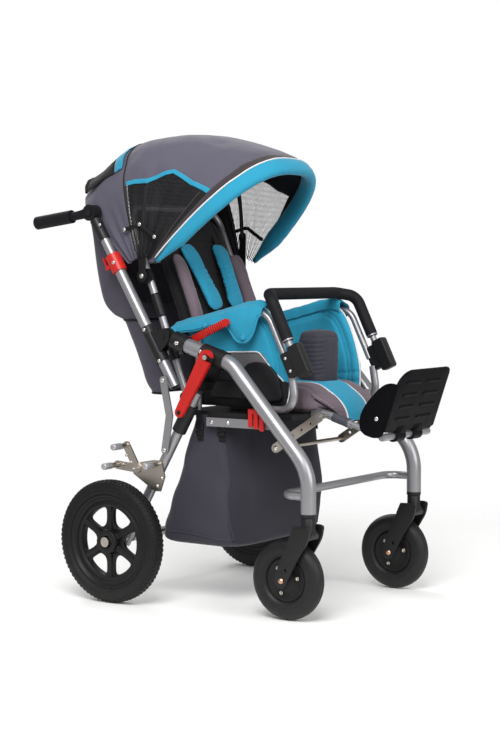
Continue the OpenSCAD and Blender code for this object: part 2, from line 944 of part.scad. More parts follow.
brake_y = side_y + rear_r + seat_gap;
brake_plate_t = 4;
brake_pivot = [44, 326];
brake_bolts = [[116, 306], [103, 286]];
brake_pin_r = 5;
brake_peg = [106, 339];
claw_y = brake_y + brake_plate_t + gap;
claw_pegs = [[12, 380], [-17, 331]];
brake_outline = [[30, 338], [30, 312], [95, 274], [113, 274], [126, 310], [116, 349], [92, 349]];
claw_w = 21;

module brake_bracket() {
    plate(brake_outline, brake_y, brake_plate_t);
    cross_rod(brake_pivot, brake_y, claw_y + brake_plate_t + rivet_h, brake_pin_r);
    cross_rod(brake_peg, brake_y, brake_y + peg_len, peg_d / 2);
    for (p = brake_bolts)
        frame_rivet(p, brake_y + brake_plate_t);
}

module brake_brackets() {
    color(zinc)
        both()
            brake_bracket();
}

module brake_lever(side) {
    color(silver)
        on_side(side)
            difference() {
                union() {
                    for (p = claw_pegs) {
                        link_bar(brake_pivot, p, claw_w, claw_y, brake_plate_t);
                        cross_rod(p, claw_y, claw_y + peg_len, peg_d / 2);
                    }
                }
                cross_rod(brake_pivot, claw_y - over, claw_y + brake_plate_t + over, brake_pin_r + fit);
            }
}

// Push tubes and the sleeves that fold them about the shoulder pivots

module push_tube() {
    low = push_foot - push_run * push_down;
    high = push_foot + push_run * push_up;
    difference() {
        rod(at(low, side_y), at(high, side_y), push_r);
        rod(at(low - push_run * over, side_y), at(high + push_run * over, side_y), push_bore_r);
    }
}

module push_tubes() {
    color(silver)
        both()
            push_tube();
}

module push_sleeve() {
    a = push_foot - push_run * sleeve_l / 2;
    b = push_foot + push_run * sleeve_l / 2;
    arm_in = lug_t / 2 + gap;
    difference() {
        union() {
            rod(at(a, side_y), at(b, side_y), sleeve_r);
            for (y = [side_y + arm_in, side_y - arm_in - lug_arm_t]) {
                plate(bar_outline(push_foot, shoulder, sleeve_l * 2 / 3, lug_r * 2), y, lug_arm_t);
                cross_rod(shoulder, y, y + lug_arm_t, lug_r);
            }
            cross_rod(shoulder, side_y - arm_in - lug_arm_t, side_y + arm_in + lug_arm_t + rivet_h, pivot_pin_r);
        }
        rod(at(a - push_run * over, side_y), at(b + push_run * over, side_y), push_r + seat_gap);
    }
    frame_rivet(push_foot + push_run * sleeve_l / 3, side_y + sleeve_r - rivet_h / 4);
}

module push_sleeves() {
    color(black)
        both()
            push_sleeve();
}

// Red clamp collars with ears, and their flip levers

clamp_root = push_foot + push_run * (collar_top - collar_l / 2);
clamp_set = 24.5;
clamp_pivot = clamp_root + push_back * clamp_set;
clamp_ear_t = 4;
clamp_lever_w = 12;
clamp_lever_l = 30;
clamp_lever_t = 6;
clamp_pin_r = 3;
clamp_barrel_r = 5;

module clamp_collar() {
    a = push_foot + push_run * (collar_top - collar_l);
    b = push_foot + push_run * collar_top;
    step = push_foot + push_run * (push_up + seat_gap);
    root = clamp_root + push_back * push_r;
    difference() {
        union() {
            rod(at(a, side_y), at(b, side_y), collar_r);
            for (y = [side_y + clamp_lever_w / 2 + gap, side_y - clamp_lever_w / 2 - gap - clamp_ear_t])
                link_bar(root, clamp_pivot, clamp_barrel_r * 2, y, clamp_ear_t);
            cross_rod(
                clamp_pivot, side_y - clamp_lever_w / 2 - gap - clamp_ear_t,
                side_y + clamp_lever_w / 2 + gap + clamp_ear_t, clamp_pin_r
            );
        }
        rod(at(a - push_run * over, side_y), at(step, side_y), push_r + seat_gap);
        rod(at(step - push_run * over, side_y), at(b + push_run * over, side_y), push_bore_r + fit);
    }
    frame_rivet(mix(a, b, 1 / 2), side_y + collar_r - rivet_h / 4);
}

module clamp_collars() {
    color(red)
        both()
            clamp_collar();
}

module clamp_lever(side) {
    base = clamp_pivot + push_back * clamp_lever_t / 3;
    color(red)
        on_side(side)
            difference() {
                union() {
                    cross_rod(
                        clamp_pivot, side_y - clamp_lever_w / 2, side_y + clamp_lever_w / 2, clamp_barrel_r
                    );
                    plate(
                        bar_outline(base, base + push_run * clamp_lever_l, clamp_lever_t, clamp_lever_t / 2),
                        side_y - clamp_lever_w / 2, clamp_lever_w
                    );
                }
                cross_rod(
                    clamp_pivot, side_y - clamp_lever_w, side_y + clamp_lever_w, clamp_pin_r + fit
                );
            }
}

// Curved flat links between the rear legs and the push tubes

link_bulge = 16;

module fold_link() {
    mid = mix(link_foot, link_head, 1 / 2) + [link_bulge, 0];
    difference() {
        union() {
            link_bar(link_foot, mid, link_w, link_y, link_t);
            link_bar(mid, link_head, link_w, link_y, link_t);
            cross_rod(link_head, link_y, link_y + link_t + rivet_h, rivet_r);
        }
        cross_rod(link_foot, link_y - over, link_y + link_t + over, lock_pin_r + fit);
    }
}

module fold_links() {
    color(silver)
        both()
            fold_link();
}

// Red lock levers: pivot on the lock bracket and hook over the elbow pin

lock_y = side_y + cheek_out + gap;
lock_head_w = 36;
lock_tail_w = 24;
hook_slack = 2;
hook_gap = pivot_pin_r + hook_slack;

module lock_lever(side) {
    forward = rear_side;
    color(red)
        on_side(side)
            difference() {
                union() {
                    plate(bar_outline(lock_pin, rear_pivot, lock_tail_w, lock_head_w), lock_y, lock_t);
                    cross_rod(lock_pin, lock_y, lock_y + lock_t, lock_tail_w / 2);
                    cross_rod(rear_pivot, lock_y, lock_y + lock_t, lock_head_w / 2);
                }
                cross_rod(rear_pivot, lock_y - over, lock_y + lock_t + over, hook_gap);
                plate(
                    bar_outline(rear_pivot, rear_pivot + forward * lock_head_w, hook_gap * 2, hook_gap * 2),
                    lock_y - over, lock_t + 2 * over
                );
                cross_rod(lock_pin, lock_y - over, lock_y + lock_t + over, lock_pin_r + fit);
            }
}

// Sliding handle tubes, elbows with half a hinge disc, and the grips

handle_hold = 112;
elbow_cap = 10;
foam_share = 0.36;
grip_neck = 4;

module handle_tube(side) {
    low = push_foot + push_run * (push_up - handle_hold);
    high = push_foot + push_run * (handle_up - hinge_r - elbow_cap);
    color(silver)
        on_side(side)
            difference() {
                rod(at(low, side_y), at(high, side_y), handle_tube_r);
                rod(at(low - push_run * over, side_y), at(high + push_run * over, side_y), handle_tube_r - push_tube_wall);
            }
}

module handle_elbow(side) {
    low = push_foot + push_run * elbow_sleeve_low;
    high = push_foot + push_run * (handle_up - hinge_r - 2 * gap);
    stop = push_foot + push_run * (handle_up - hinge_r - elbow_cap);
    color(black)
        on_side(side)
            difference() {
                union() {
                    rod(at(low, side_y), at(high, side_y), elbow_sleeve_r);
                    cross_rod(handle_hinge, side_y - hinge_t, side_y - gap / 2, hinge_r);
                    plate(
                        bar_outline(stop, handle_hinge, elbow_sleeve_r, hinge_r), side_y - hinge_t + gap,
                        hinge_t - 2 * gap
                    );
                }
                rod(at(low - push_run * over, side_y), at(stop, side_y), handle_tube_r + seat_gap);
            }
}

module grip(side) {
    arm = handle_hinge + grip_run * (hinge_r + grip_neck);
    foam = handle_hinge + grip_run * grip_len * foam_share;
    end = handle_hinge + grip_run * grip_len;
    color(black)
        on_side(side)
            difference() {
                union() {
                    cross_rod(handle_hinge, side_y + gap / 2, side_y + hinge_t, hinge_r);
                    plate(
                        bar_outline(handle_hinge, handle_hinge + grip_run * hinge_r * 2, hinge_r * 3 / 2, grip_arm_r * 3 / 2),
                        side_y + gap / 2, grip_arm_r - gap
                    );
                    rod(at(arm, side_y), at(foam, side_y), grip_arm_r);
                    rod(at(foam, side_y), at(end, side_y), grip_r);
                }
                cross_rod(handle_hinge, side_y + hinge_t - button_l, side_y + hinge_t + over, button_r + fit);
            }
}

module handle_button(side) {
    color(black)
        on_side(side)
            cross_rod(
                handle_hinge, side_y + hinge_t - button_l + button_travel + gap,
                side_y + hinge_t + button_travel + gap, button_r
            );
}

// Backrest frame: a tall U tube on two hinge pins

back_hub = back_tube_r + gap;
back_hub_r = 12;
back_bend = 48;
back_bar_r = 6;
back_bar_set = 12;
back_bar_shares = [0.24, 0.72];

module backrest_frame() {
    top = back_hinge + back_run * back_l;
    base = back_hinge - back_run * back_tube_r / 2;
    color(silver)
        seated() {
            bent_rod([
                at(base, -back_tube_y), at(top, -back_tube_y), at(top, back_tube_y), at(base, back_tube_y)
            ], [back_bend, back_bend], back_tube_r);
            for (s = back_bar_shares)
                cross_rod(back_place(back_l * s, -back_bar_set), -back_tube_y, back_tube_y, back_bar_r);
            for (s = [-1, 1]) {
                cross_rod(back_hinge, s * (back_tube_y - back_hub), s * (back_tube_y + back_hub), back_hub_r);
                cross_rod(back_hinge, s * back_tube_y, s * (back_ear_y + back_ear_t), back_pin_r);
            }
        }
}

// Backrest pad with side bolsters and sewn channels

pad_rows = 20;
pad_cols = 22;
pad_edge_share = 0.45;
pad_draw_share = 0.04;
pad_seam_share = 0.1;
pad_seam_width_share = 0.05;
bolster_share = 0.3;
bolster_line = 0.78;
bolster_width_share = 0.14;
pad_fullness = 5;
pad_high = back_l - back_tube_r * 2 - gap;
pad_back = back_bar_set - back_bar_r - gap / 2;

function back_place(up, out) = back_hinge + back_run * up + back_out * out;

function back_face(u, v) = let (
        full = crown(u, v, pad_fullness),
        bolster = bolster_share * dip(abs(v), bolster_line, bolster_width_share),
        seam = pad_seam_share * dip(abs(u), 1 / 3, pad_seam_width_share),
        out = back_pad_t * (pad_edge_share + (1 - pad_edge_share + bolster - seam) * full)
    )
    at(
        back_place(mix(back_pad_low, pad_high, (u + 1) / 2), out - pad_back),
        v * back_pad_w / 2 * (1 - pad_draw_share * (1 - u * u))
    );

module backrest_pad() {
    us = [for (i = [0:pad_rows]) spread(i, pad_rows)];
    vs = [for (j = [0:pad_cols]) spread(j, pad_cols)];
    front = [for (u = us) [for (v = vs) back_face(u, v)]];
    back = [
        for (i = [0:pad_rows]) [
            for (p = front[i])
                at(back_place(mix(back_pad_low, pad_high, (us[i] + 1) / 2), -pad_back), p[1])
        ]
    ];
    color(mauve_cloth)
        seated()
            skin(back, front);
}

// Blue shoulder pads lying on the backrest

strap_w = 44;
strap_t = 12;
strap_low = 205;
strap_high = 375;
strap_rows = 8;
strap_cols = 6;
strap_low_share = 34 / 294;
strap_high_share = 62 / 294;
strap_low_y = back_pad_w * strap_low_share;
strap_high_y = back_pad_w * strap_high_share;
strap_edge_share = 0.4;
strap_fullness = 3;

function strap_face(u, v, out) = let (s = (u + 1) / 2)
    at(
        back_place(mix(strap_low, strap_high, s), back_pad_t - pad_back + gap + out),
        mix(strap_low_y, strap_high_y, s) + v * strap_w / 2
    );

module shoulder_pad() {
    us = [for (i = [0:strap_rows]) spread(i, strap_rows)];
    vs = [for (j = [0:strap_cols]) spread(j, strap_cols)];
    skin(
        [for (u = us) [for (v = vs) strap_face(u, v, 0)]],
        [for (u = us) [for (v = vs) strap_face(u, v, strap_t * mix(strap_edge_share, 1, crown(u, v, strap_fullness)))]]
    );
}

module shoulder_pads() {
    color(blue_cloth)
        both()
            shoulder_pad();
}

// Rear drape: hangs from the hood's rear bow behind the backrest, with soft folds

drape_inset = 51;
drape_half_w = side_y - drape_inset;
drape_rows = 16;
drape_cols = 20;
drape_fold = 9;
drape_wrap = 26;
drape_waves = 3;
drape_top_share = 0.86;
drape_start = 24;
drape_knots = [[-172, 1000], [-156, 900], [-140, 790], [-122, 722], [-62, 676], [-20, 610], [8, 540], [40, 508]];

function drape_line(s) = let (n = len(drape_knots) - 1, k = min(n - 1, floor(s * n)))
    mix(drape_knots[k], drape_knots[k + 1], s * n - k);

function drape_hem(v) = bow_place(hood_rear_a, mix(180 - drape_start, drape_start, (1 - v) / 2), cloth_t * 3 / 2);

function drape_place(s, v, out) = let (
        p = drape_line(s),
        ripple = drape_fold * sin(90 * s) * cos(v * 180 * drape_waves) * (1 - v * v),
        hang = [p[0] - ripple + drape_wrap * pow(v, 4), v * drape_half_w * mix(drape_top_share, 1, sin(180 * s)), p[1]],
        hem = drape_hem(v)
    )
    mix(hang, hem, pow(1 - s, 4)) - [out, 0, 0];

module rear_drape() {
    ss = [for (i = [0:drape_rows]) i / drape_rows];
    vs = [for (j = [0:drape_cols]) -1 + 2 * j / drape_cols];
    color(grey_cloth)
        seated()
            skin(
                [for (s = ss) [for (v = vs) drape_place(s, v, cloth_t)]],
                [for (s = ss) [for (v = vs) drape_place(s, v, 0)]]
            );
}

// Pivot discs of the hood, clamped to the backrest tubes

hood_clamp_h = 30;
hood_clamp_wall = 3;

module hood_pivot_disc() {
    difference() {
        union() {
            cross_rod(hood_pivot, hood_hub_y, hood_hub_y + hood_disc_t, hood_disc_r);
            rod(
                at(hood_pivot - back_run * hood_clamp_h / 2, back_tube_y),
                at(hood_pivot + back_run * hood_clamp_h / 2, back_tube_y), back_tube_r + hood_clamp_wall
            );
            cross_rod(hood_pivot, back_tube_y, hood_hub_y + over, back_tube_r);
            cross_rod(hood_pivot, hood_hub_y, hood_hub_y + hood_disc_t * 2 + gap * 2, back_pin_r);
        }
        rod(
            at(hood_pivot - back_run * hood_clamp_h, back_tube_y),
            at(hood_pivot + back_run * hood_clamp_h, back_tube_y), back_tube_r + seat_gap
        );
    }
}

module hood_pivots() {
    color(black)
        both()
            hood_pivot_disc();
}

// Hood: bows swing about the pivots; each bow is an arch whose reach follows its angle

bow_front_power = 0.77;
bow_rear_power = 0.48;

function hood_reach(a) = let (s = (a - hood_front_a) / (hood_rear_a - hood_front_a))
    s < 0.5 ? mix(hood_front_r, hood_mid_r, sin(180 * s)) : mix(hood_mid_r, hood_rear_r, 1 - sin(180 * s));

// place on a bow at angle a, arch position t from 0 (right) to 180 (left), inset from the cloth
function bow_power(a) = mix(bow_front_power, bow_rear_power, (a - hood_front_a) / (hood_rear_a - hood_front_a));
function bow_place(a, t, inset) = let (
        reach = (hood_reach(a) - inset) * pow(sin(t), bow_power(a)),
        half = hood_half_w - inset,
        y = -half * sign(cos(t)) * pow(abs(cos(t)), bow_power(a))
    )
    at(hood_pivot + heading(a) * reach, y);

shell_rows = 14;
shell_cols = 26;
shell_start = 8;
shell_clear = hem_d / 2 + 2 * gap;
hem_steps = 24;
hem_sides = 10;
hem_fill = 5;
mid_bow_inset = cloth_t + hood_bow_r + gap;

// the shell starts a fixed distance behind the hem all round the arch
function shell_front(t) = hood_front_a + asin(shell_clear / (hood_front_r * pow(sin(t), bow_front_power)));

function shell_place(s, t, inset) = bow_place(mix(shell_front(t), hood_rear_a, s), t, inset);

module hood_shell() {
    rows = [for (i = [0:shell_rows]) i / shell_rows];
    arch = [for (j = [0:shell_cols]) mix(shell_start, 180 - shell_start, j / shell_cols)];
    color(grey_cloth)
        seated()
            skin(
                [for (s = rows) [for (t = arch) shell_place(s, t, 0)]],
                [for (s = rows) [for (t = arch) shell_place(s, t, cloth_t)]]
            );
}

// closed tube of rings along a bow
module bow_tube(a, r, start, steps, sides, inset) {
    ts = [for (i = [0:steps]) mix(start, 180 - start, i / steps)];
    mids = [for (t = ts) bow_place(a, t, inset)];
    n = len(mids);
    ring = [
        for (i = [0:n - 1])
            let (
                d = unit(mids[min(i + 1, n - 1)] - mids[max(i - 1, 0)]),
                e = at([-sin(a), cos(a)], 0),
                f = cross(d, e)
            )
            [for (k = [0:sides - 1]) mids[i] + (e * cos(360 * k / sides) + f * sin(360 * k / sides)) * r]
    ];
    polyhedron(
        points = [for (row = ring) each row],
        faces = concat(
            [[for (k = [0:sides - 1]) k]],
            [[for (k = [sides - 1:-1:0]) (n - 1) * sides + k]],
            [
                for (i = [0:n - 2], k = [0:sides - 1])
                    let (b = (k + 1) % sides)
                    each [
                        [i * sides + k, (i + 1) * sides + k, (i + 1) * sides + b],
                        [i * sides + k, (i + 1) * sides + b, i * sides + b]
                    ]
            ]
        )
    );
}

bow_hub_y = hood_hub_y + hood_disc_t + gap;

// length of a hub arm that reaches into the lower end of its bow
function hub_reach(a, inset) = (hood_reach(a) - inset) * pow(sin(shell_start), bow_power(a)) + hem_fill;

module bow_hub(a, y_from, t, reach) {
    difference() {
        link_bar(hood_pivot, hood_pivot + heading(a) * reach, hood_disc_r, y_from, t);
        cross_rod(hood_pivot, y_from - over, y_from + t + over, back_pin_r + fit);
    }
}

module hood_front_bow() {
    color(blue_cloth) {
        seated()
            bow_tube(hood_front_a, hem_d / 2, shell_start, hem_steps, hem_sides, hem_d / 2);
        both()
            bow_hub(hood_front_a, bow_hub_y, hood_disc_t / 2, hub_reach(hood_front_a, hem_d / 2));
    }
}

module hood_mid_bow() {
    a = mix(hood_front_a, hood_rear_a, 1 / 2);
    color(black) {
        seated()
            bow_tube(a, hood_bow_r, shell_start, hem_steps, hem_sides, mid_bow_inset);
        both()
            bow_hub(a, bow_hub_y + hood_disc_t / 2 + gap, hood_disc_t / 2 - gap, hub_reach(a, hood_bow_r));
    }
}

module hood_stays() {
    a = mix(hood_front_a, hood_rear_a, 1 / 2);
    reach = hood_front_r * stay_share;
    y = hood_half_w - mid_bow_inset - 2 * hood_bow_r - stay_t + 3 * gap;
    color(black)
        both()
            link_bar(
                hood_pivot + heading(a + stay_rear_a) * reach, hood_pivot + heading(a - stay_front_a) * reach, stay_w, y, stay_t
            );
}

// Legrest: hanger tubes, notched struts with a cross rod, sliding foot tubes and the footplate

module legrest_tubes() {
    end = legrest_hinge + legrest_run * legrest_outer_l;
    barrel_half = ear_gap - gap;
    color(silver)
        both() {
            difference() {
                union() {
                    rod(at(legrest_hinge, legrest_y), at(end, legrest_y), legrest_r);
                    cross_rod(legrest_hinge, legrest_y - barrel_half, legrest_y + barrel_half, legrest_r + legrest_barrel_wall);
                    cross_rod(strut_pin, legrest_y, strut_y + strut_t + rivet_h, legrest_pin_r);
                }
                rod(
                    at(legrest_hinge + legrest_run * (legrest_r + legrest_plug), legrest_y),
                    at(end + legrest_run * over, legrest_y), legrest_r - legrest_wall
                );
                cross_rod(
                    legrest_hinge, legrest_y - ear_gap, legrest_y + ear_gap, legrest_pin_r + fit
                );
            }
        }
}

module legrest_struts() {
    notch_r = strut_w / 6;
    notches = 4;
    color(zinc) {
        both()
            difference() {
                link_bar(strut_pin, strut_foot, strut_w, strut_y, strut_t);
                cross_rod(strut_pin, strut_y - over, strut_y + strut_t + over, legrest_pin_r + fit);
                for (i = [1:notches])
                    cross_rod(
                        mix(strut_pin, strut_foot, i / (notches + 1)), strut_y - over, strut_y + strut_t + over, notch_r
                    );
            }
        seated()
            cross_rod(strut_foot, -strut_y, strut_y, strut_rod_r);
    }
}

module foot_tubes() {
    start = legrest_hinge + legrest_run * legrest_outer_l * foot_tube_share;
    color(silver) {
        both()
            rod(at(start, legrest_y), at(foot_hinge, legrest_y), foot_tube_r);
        seated()
            cross_rod(foot_hinge, -foot_w / 2 + foot_t, foot_w / 2 - foot_t, foot_bar_r);
    }
}

foot_barrel_l = 40;
wing_t = 4;
wing_shares = [
    [0.02, -0.02], [-0.1, 0.02], [-0.15, 0.12], [-0.16, 0.21], [-0.16, 0.3], [-0.11, 0.38], [-0.04, 0.42], [0.045, 0.44],
    [0.16, 0.44], [0.29, 0.41], [0.42, 0.36], [0.56, 0.29], [0.68, 0.2], [0.745, 0.11], [0.77, 0.02], [0.77, -0.02]
];

module footplate() {
    low = foot_hinge + foot_run * foot_lift;
    tip = foot_hinge + foot_run * (foot_l + foot_lift);
    face = [foot_run[1], -foot_run[0]];
    back = -face;
    barrel_r = foot_bar_r + collar_wall;
    color(black)
        seated()
            difference() {
                union() {
                    plate(
                        [low, tip, tip + face * foot_t, low + face * foot_t], -foot_w / 2, foot_w
                    );
                    for (y = [-foot_barrel_l * 1.5, foot_barrel_l / 2]) {
                        cross_rod(foot_hinge, y, y + foot_barrel_l, barrel_r);
                        plate(
                            [foot_hinge, low + foot_run * foot_lift, low + foot_run * foot_lift + face * foot_t,
                             foot_hinge + face * barrel_r],
                            y, foot_barrel_l
                        );
                    }
                    for (y = [-foot_w / 2, foot_w / 2 - wing_t])
                        plate([
                            for (s = wing_shares) mix(low, tip, s[0]) + back * foot_l * s[1]
                        ], y, wing_t);
                }
                cross_rod(foot_hinge, -foot_w, foot_w, foot_bar_r + fit);
            }
}

// Rear wheels: treaded tyres on spoked rims

module wheel_turn(p, y) {
    translate(at(p, y))
        rotate([-90, 0, 0])
            rotate_extrude()
                children();
}

crest_share = 0.62;

module tyre_section(r_in, r_out, w) {
    crest = (r_out - r_in) * crest_share;
    intersection() {
        translate([r_in, -w / 2])
            square([r_out - r_in, w]);
        union() {
            translate([r_in, -w / 2])
                square([r_out - r_in - crest, w]);
            translate([r_out - crest, 0])
                scale_round(crest, w / 2);
        }
    }
}

// quarter-round shoulders: a disc of the tyre's half width moved to touch the tread
module scale_round(rise, half) {
    big = (rise * rise + half * half) / (2 * rise);
    translate([rise - big, 0])
        circle(r = big);
}

module rear_tyre(side) {
    color(black)
        on_side(side)
            wheel_turn(axle, rear_y)
                tyre_section(rear_rim_r, rear_r_out, rear_tyre_w);
}

rim_wall = 27;
spoke_w = 15;
spoke_t = 16;

module rear_rim(side) {
    hub_half = rear_tyre_w / 2;
    color(black)
        on_side(side)
            difference() {
                union() {
                    wheel_turn(axle, rear_y)
                        translate([rear_rim_r - rim_wall, -rear_tyre_w / 3])
                            square([rim_wall - seat_gap, rear_tyre_w * 2 / 3]);
                    cross_rod(axle, rear_y - hub_half, rear_y + hub_half, rear_hub_r);
                    for (i = [0:rear_spokes - 1])
                        translate(at(axle, rear_y))
                            rotate([0, 360 * i / rear_spokes, 0])
                                translate([rear_hub_r - rim_wall / 2, -spoke_t / 2, -spoke_w / 2])
                                    cube([rear_rim_r - rear_hub_r, spoke_t, spoke_w]);
                }
                cross_rod(axle, rear_y - hub_half - over, rear_y + hub_half + over, rear_axle_d / 2 + fit);
            }
}

// Casters: trailing forks with a stem, and solid disc wheels

module caster_fork(side) {
    inner = front_tyre_w / 2 + fork_gap;
    crown_z = front_axle[1] + front_r_out + fork_gap * 2;
    stem = [stem_x, crown_z];
    color(black)
        on_side(side) {
            difference() {
                union() {
                    translate([stem_x, side_y, crown_z])
                        cylinder(h = fork_top - crown_z, r = fork_collar_r);
                    translate([stem_x, side_y, crown_z])
                        cylinder(h = leg_foot_h + bush_l - crown_z, r = stem_r);
                    for (y = [side_y + inner, side_y - inner - fork_t]) {
                        plate([
                            stem + [-fork_collar_r, 0], stem + [-fork_collar_r, fork_t * 2],
                            stem + [fork_collar_r, fork_t * 2], stem + [fork_collar_r, 0],
                            front_axle + [rivet_r * 3, -rivet_r], front_axle + [-rivet_r * 3, rivet_r]
                        ], y, fork_t);
                        cross_rod(front_axle, y, y + fork_t, rivet_r * 3);
                    }
                    translate([stem_x - fork_collar_r, side_y - inner - fork_t, crown_z])
                        cube([fork_collar_r * 2, 2 * (inner + fork_t), fork_t * 2]);
                    cross_rod(front_axle, side_y - inner - fork_t - rivet_h, side_y + inner + fork_t + rivet_h, axle_pin_r);
                }
                cross_rod(mix(stem, front_axle, 1 / 2), side_y - inner * 2, side_y + inner * 2, rivet_r);
            }
        }
}

module front_wheel(side) {
    hub_half = front_tyre_w / 2 + fork_gap - gap;
    groove = 3;
    color(black)
        on_side(side)
            difference() {
                union() {
                    wheel_turn(front_axle, side_y)
                        tyre_section(front_rim_r, front_r_out, front_tyre_w);
                    cross_rod(front_axle, side_y - front_tyre_w / 3, side_y + front_tyre_w / 3, front_rim_r + over);
                    cross_rod(front_axle, side_y - hub_half, side_y + hub_half, rivet_r * 4);
                }
                cross_rod(front_axle, side_y - front_tyre_w, side_y + front_tyre_w, axle_pin_r + fit);
                wheel_turn(front_axle, side_y)
                    translate([front_r_out - groove, -groove / 2])
                        square([groove * 2, groove]);
            }
}

// Bumper bar: silver necks in the sockets, black foam over the top

bumper_neck = 10;
bumper_bend = 34;

module bumper_bar() {
    neck = socket_low + socket_run * (2 * casting_wall + gap);
    foam = socket_high + socket_run * bumper_neck;
    top = [bumper_top_x, bumper_h - bumper_d / 2];
    color(black)
        seated() {
            for (s = [-1, 1])
                rod(at(neck, s * bumper_y), at(foam + socket_run * bumper_tube_r, s * bumper_y), bumper_tube_r);
            bent_rod([
                at(foam, -bumper_y), at(bumper_corner, -bumper_y), at(top, -bumper_top_y), at(top, bumper_top_y),
                at(bumper_corner, bumper_y), at(foam, bumper_y)
            ], [for (i = [1:4]) bumper_bend], bumper_d / 2);
        }
}

// Pommel: a soft block with creases across it

pommel_rows = 14;
pommel_cols = 20;
pommel_base_share = 0.78;
pommel_swell_share = 0.45;
pommel_crease_share = 0.035;
pommel_crease_width_share = 0.03;
pommel_round = 0.7;
pommel_tip_share = 0.9925;

function rounded(c) = sign(c) * pow(abs(c), pommel_round);

function pommel_place(h, t) = let (
        full = pow(1 - pow(h, 7), 1 / 4) * mix(pommel_base_share, 1, sin(90 * min(1, h / pommel_swell_share))),
        crease = 1 - pommel_crease_share * dip(abs(h - 1 / 2), 1 / 8, pommel_crease_width_share)
    )
    [
        pommel_x + pommel_l / 2 * full * crease * rounded(cos(t)),
        pommel_w / 2 * full * crease * rounded(sin(t)),
        pan_h + cushion_h + 2 * gap + pommel_h * h
    ];

module pommel() {
    rows = [for (i = [0:pommel_rows]) pommel_tip_share * i / pommel_rows];
    sides = pommel_cols;
    ring = [for (u = rows) [for (k = [0:sides - 1]) pommel_place(u, 360 * k / sides)]];
    n = len(ring);
    color(mauve_cloth)
        seated()
            polyhedron(
                points = [for (row = ring) each row],
                faces = concat(
                    [[for (k = [0:sides - 1]) k]],
                    [[for (k = [sides - 1:-1:0]) (n - 1) * sides + k]],
                    [
                        for (i = [0:n - 2], k = [0:sides - 1])
                            let (b = (k + 1) % sides)
                            each [
                                [i * sides + k, (i + 1) * sides + k, (i + 1) * sides + b],
                                [i * sides + k, (i + 1) * sides + b, i * sides + b]
                            ]
                    ]
                )
            );
}

// Red recline lever on the right rail, and the red three-finger tilt grip on the right seat rail

recline_set = 46;
recline_pin = shoulder + top_rail * recline_set;
recline_pin_r = 4;
recline_stud = 20;
recline_t = 7;
recline_l = 122;
recline_a = 24;
recline_w = 18;
tilt_pin_x = 358;
tilt_rise = 11;
tilt_pin = [tilt_pin_x, rail_z + tilt_rise];
tilt_pin_r = 3;
tilt_t = 6;
finger_w = 10;
finger_l = 40;
finger_pitch = 17;

module recline_lever() {
    y = side_y - leg_r - recline_stud + recline_t / 2;
    tip = recline_pin + heading(recline_a) * recline_l;
    color(red)
        on_side(-1)
            difference() {
                link_bar(recline_pin, tip, recline_w, y, recline_t);
                cross_rod(recline_pin, y - over, y + recline_t + over, recline_pin_r + fit);
            }
}

module tilt_grip() {
    y = rail_y - rail_t - tilt_t - 2 * gap;
    color(red)
        on_side(-1)
            difference() {
                union() {
                    link_bar(tilt_pin, tilt_pin + [finger_pitch * 3, 0], finger_w + rivet_r, y, tilt_t);
                    for (i = [0:2])
                        link_bar(
                            tilt_pin + [finger_pitch * i, 0], tilt_pin + [finger_pitch * (i + 1 / 2), finger_l * (1 - i / 8)],
                            finger_w, y, tilt_t
                        );
                }
                cross_rod(tilt_pin, y - over, y + tilt_t + over, tilt_pin_r + fit);
            }
}

side_tubes();
shoulder_lugs();
elbow_castings();
front_cross_bar();
caster_bushes();
seat_frame();
seat_pan();
bumper_sockets();
seat_cushion();
side_panels();
storage_bag();
frame_rivets();
rear_legs();
rear_leg_brackets();
rear_axle();
brake_brackets();
push_tubes();
push_sleeves();
clamp_collars();
fold_links();
lock_lever(1);  // lock_lever_left
lock_lever(-1);  // lock_lever_right
handle_tube(1);  // handle_tube_left
handle_tube(-1);  // handle_tube_right
handle_elbow(1);  // handle_elbow_left
handle_elbow(-1);  // handle_elbow_right
grip(1);  // grip_left
grip(-1);  // grip_right
handle_button(1);  // handle_button_left
handle_button(-1);  // handle_button_right
clamp_lever(1);  // clamp_lever_left
clamp_lever(-1);  // clamp_lever_right
backrest_frame();
backrest_pad();
shoulder_pads();
rear_drape();
hood_pivots();
hood_front_bow();
hood_shell();
hood_mid_bow();
hood_stays();
legrest_tubes();
legrest_struts();
foot_tubes();
footplate();
rear_tyre(1);  // rear_tyre_left
rear_tyre(-1);  // rear_tyre_right
rear_rim(1);  // rear_rim_left
rear_rim(-1);  // rear_rim_right
caster_fork(1);  // caster_fork_left
caster_fork(-1);  // caster_fork_right
front_wheel(1);  // front_wheel_left
front_wheel(-1);  // front_wheel_right
brake_lever(1);  // brake_lever_left
brake_lever(-1);  // brake_lever_right
bumper_bar();
pommel();
recline_lever();
tilt_grip();
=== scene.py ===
import math
import bpy
import bmesh
import numpy as np
from mathutils import Vector, Matrix, noise
from mathutils.bvhtree import BVHTree


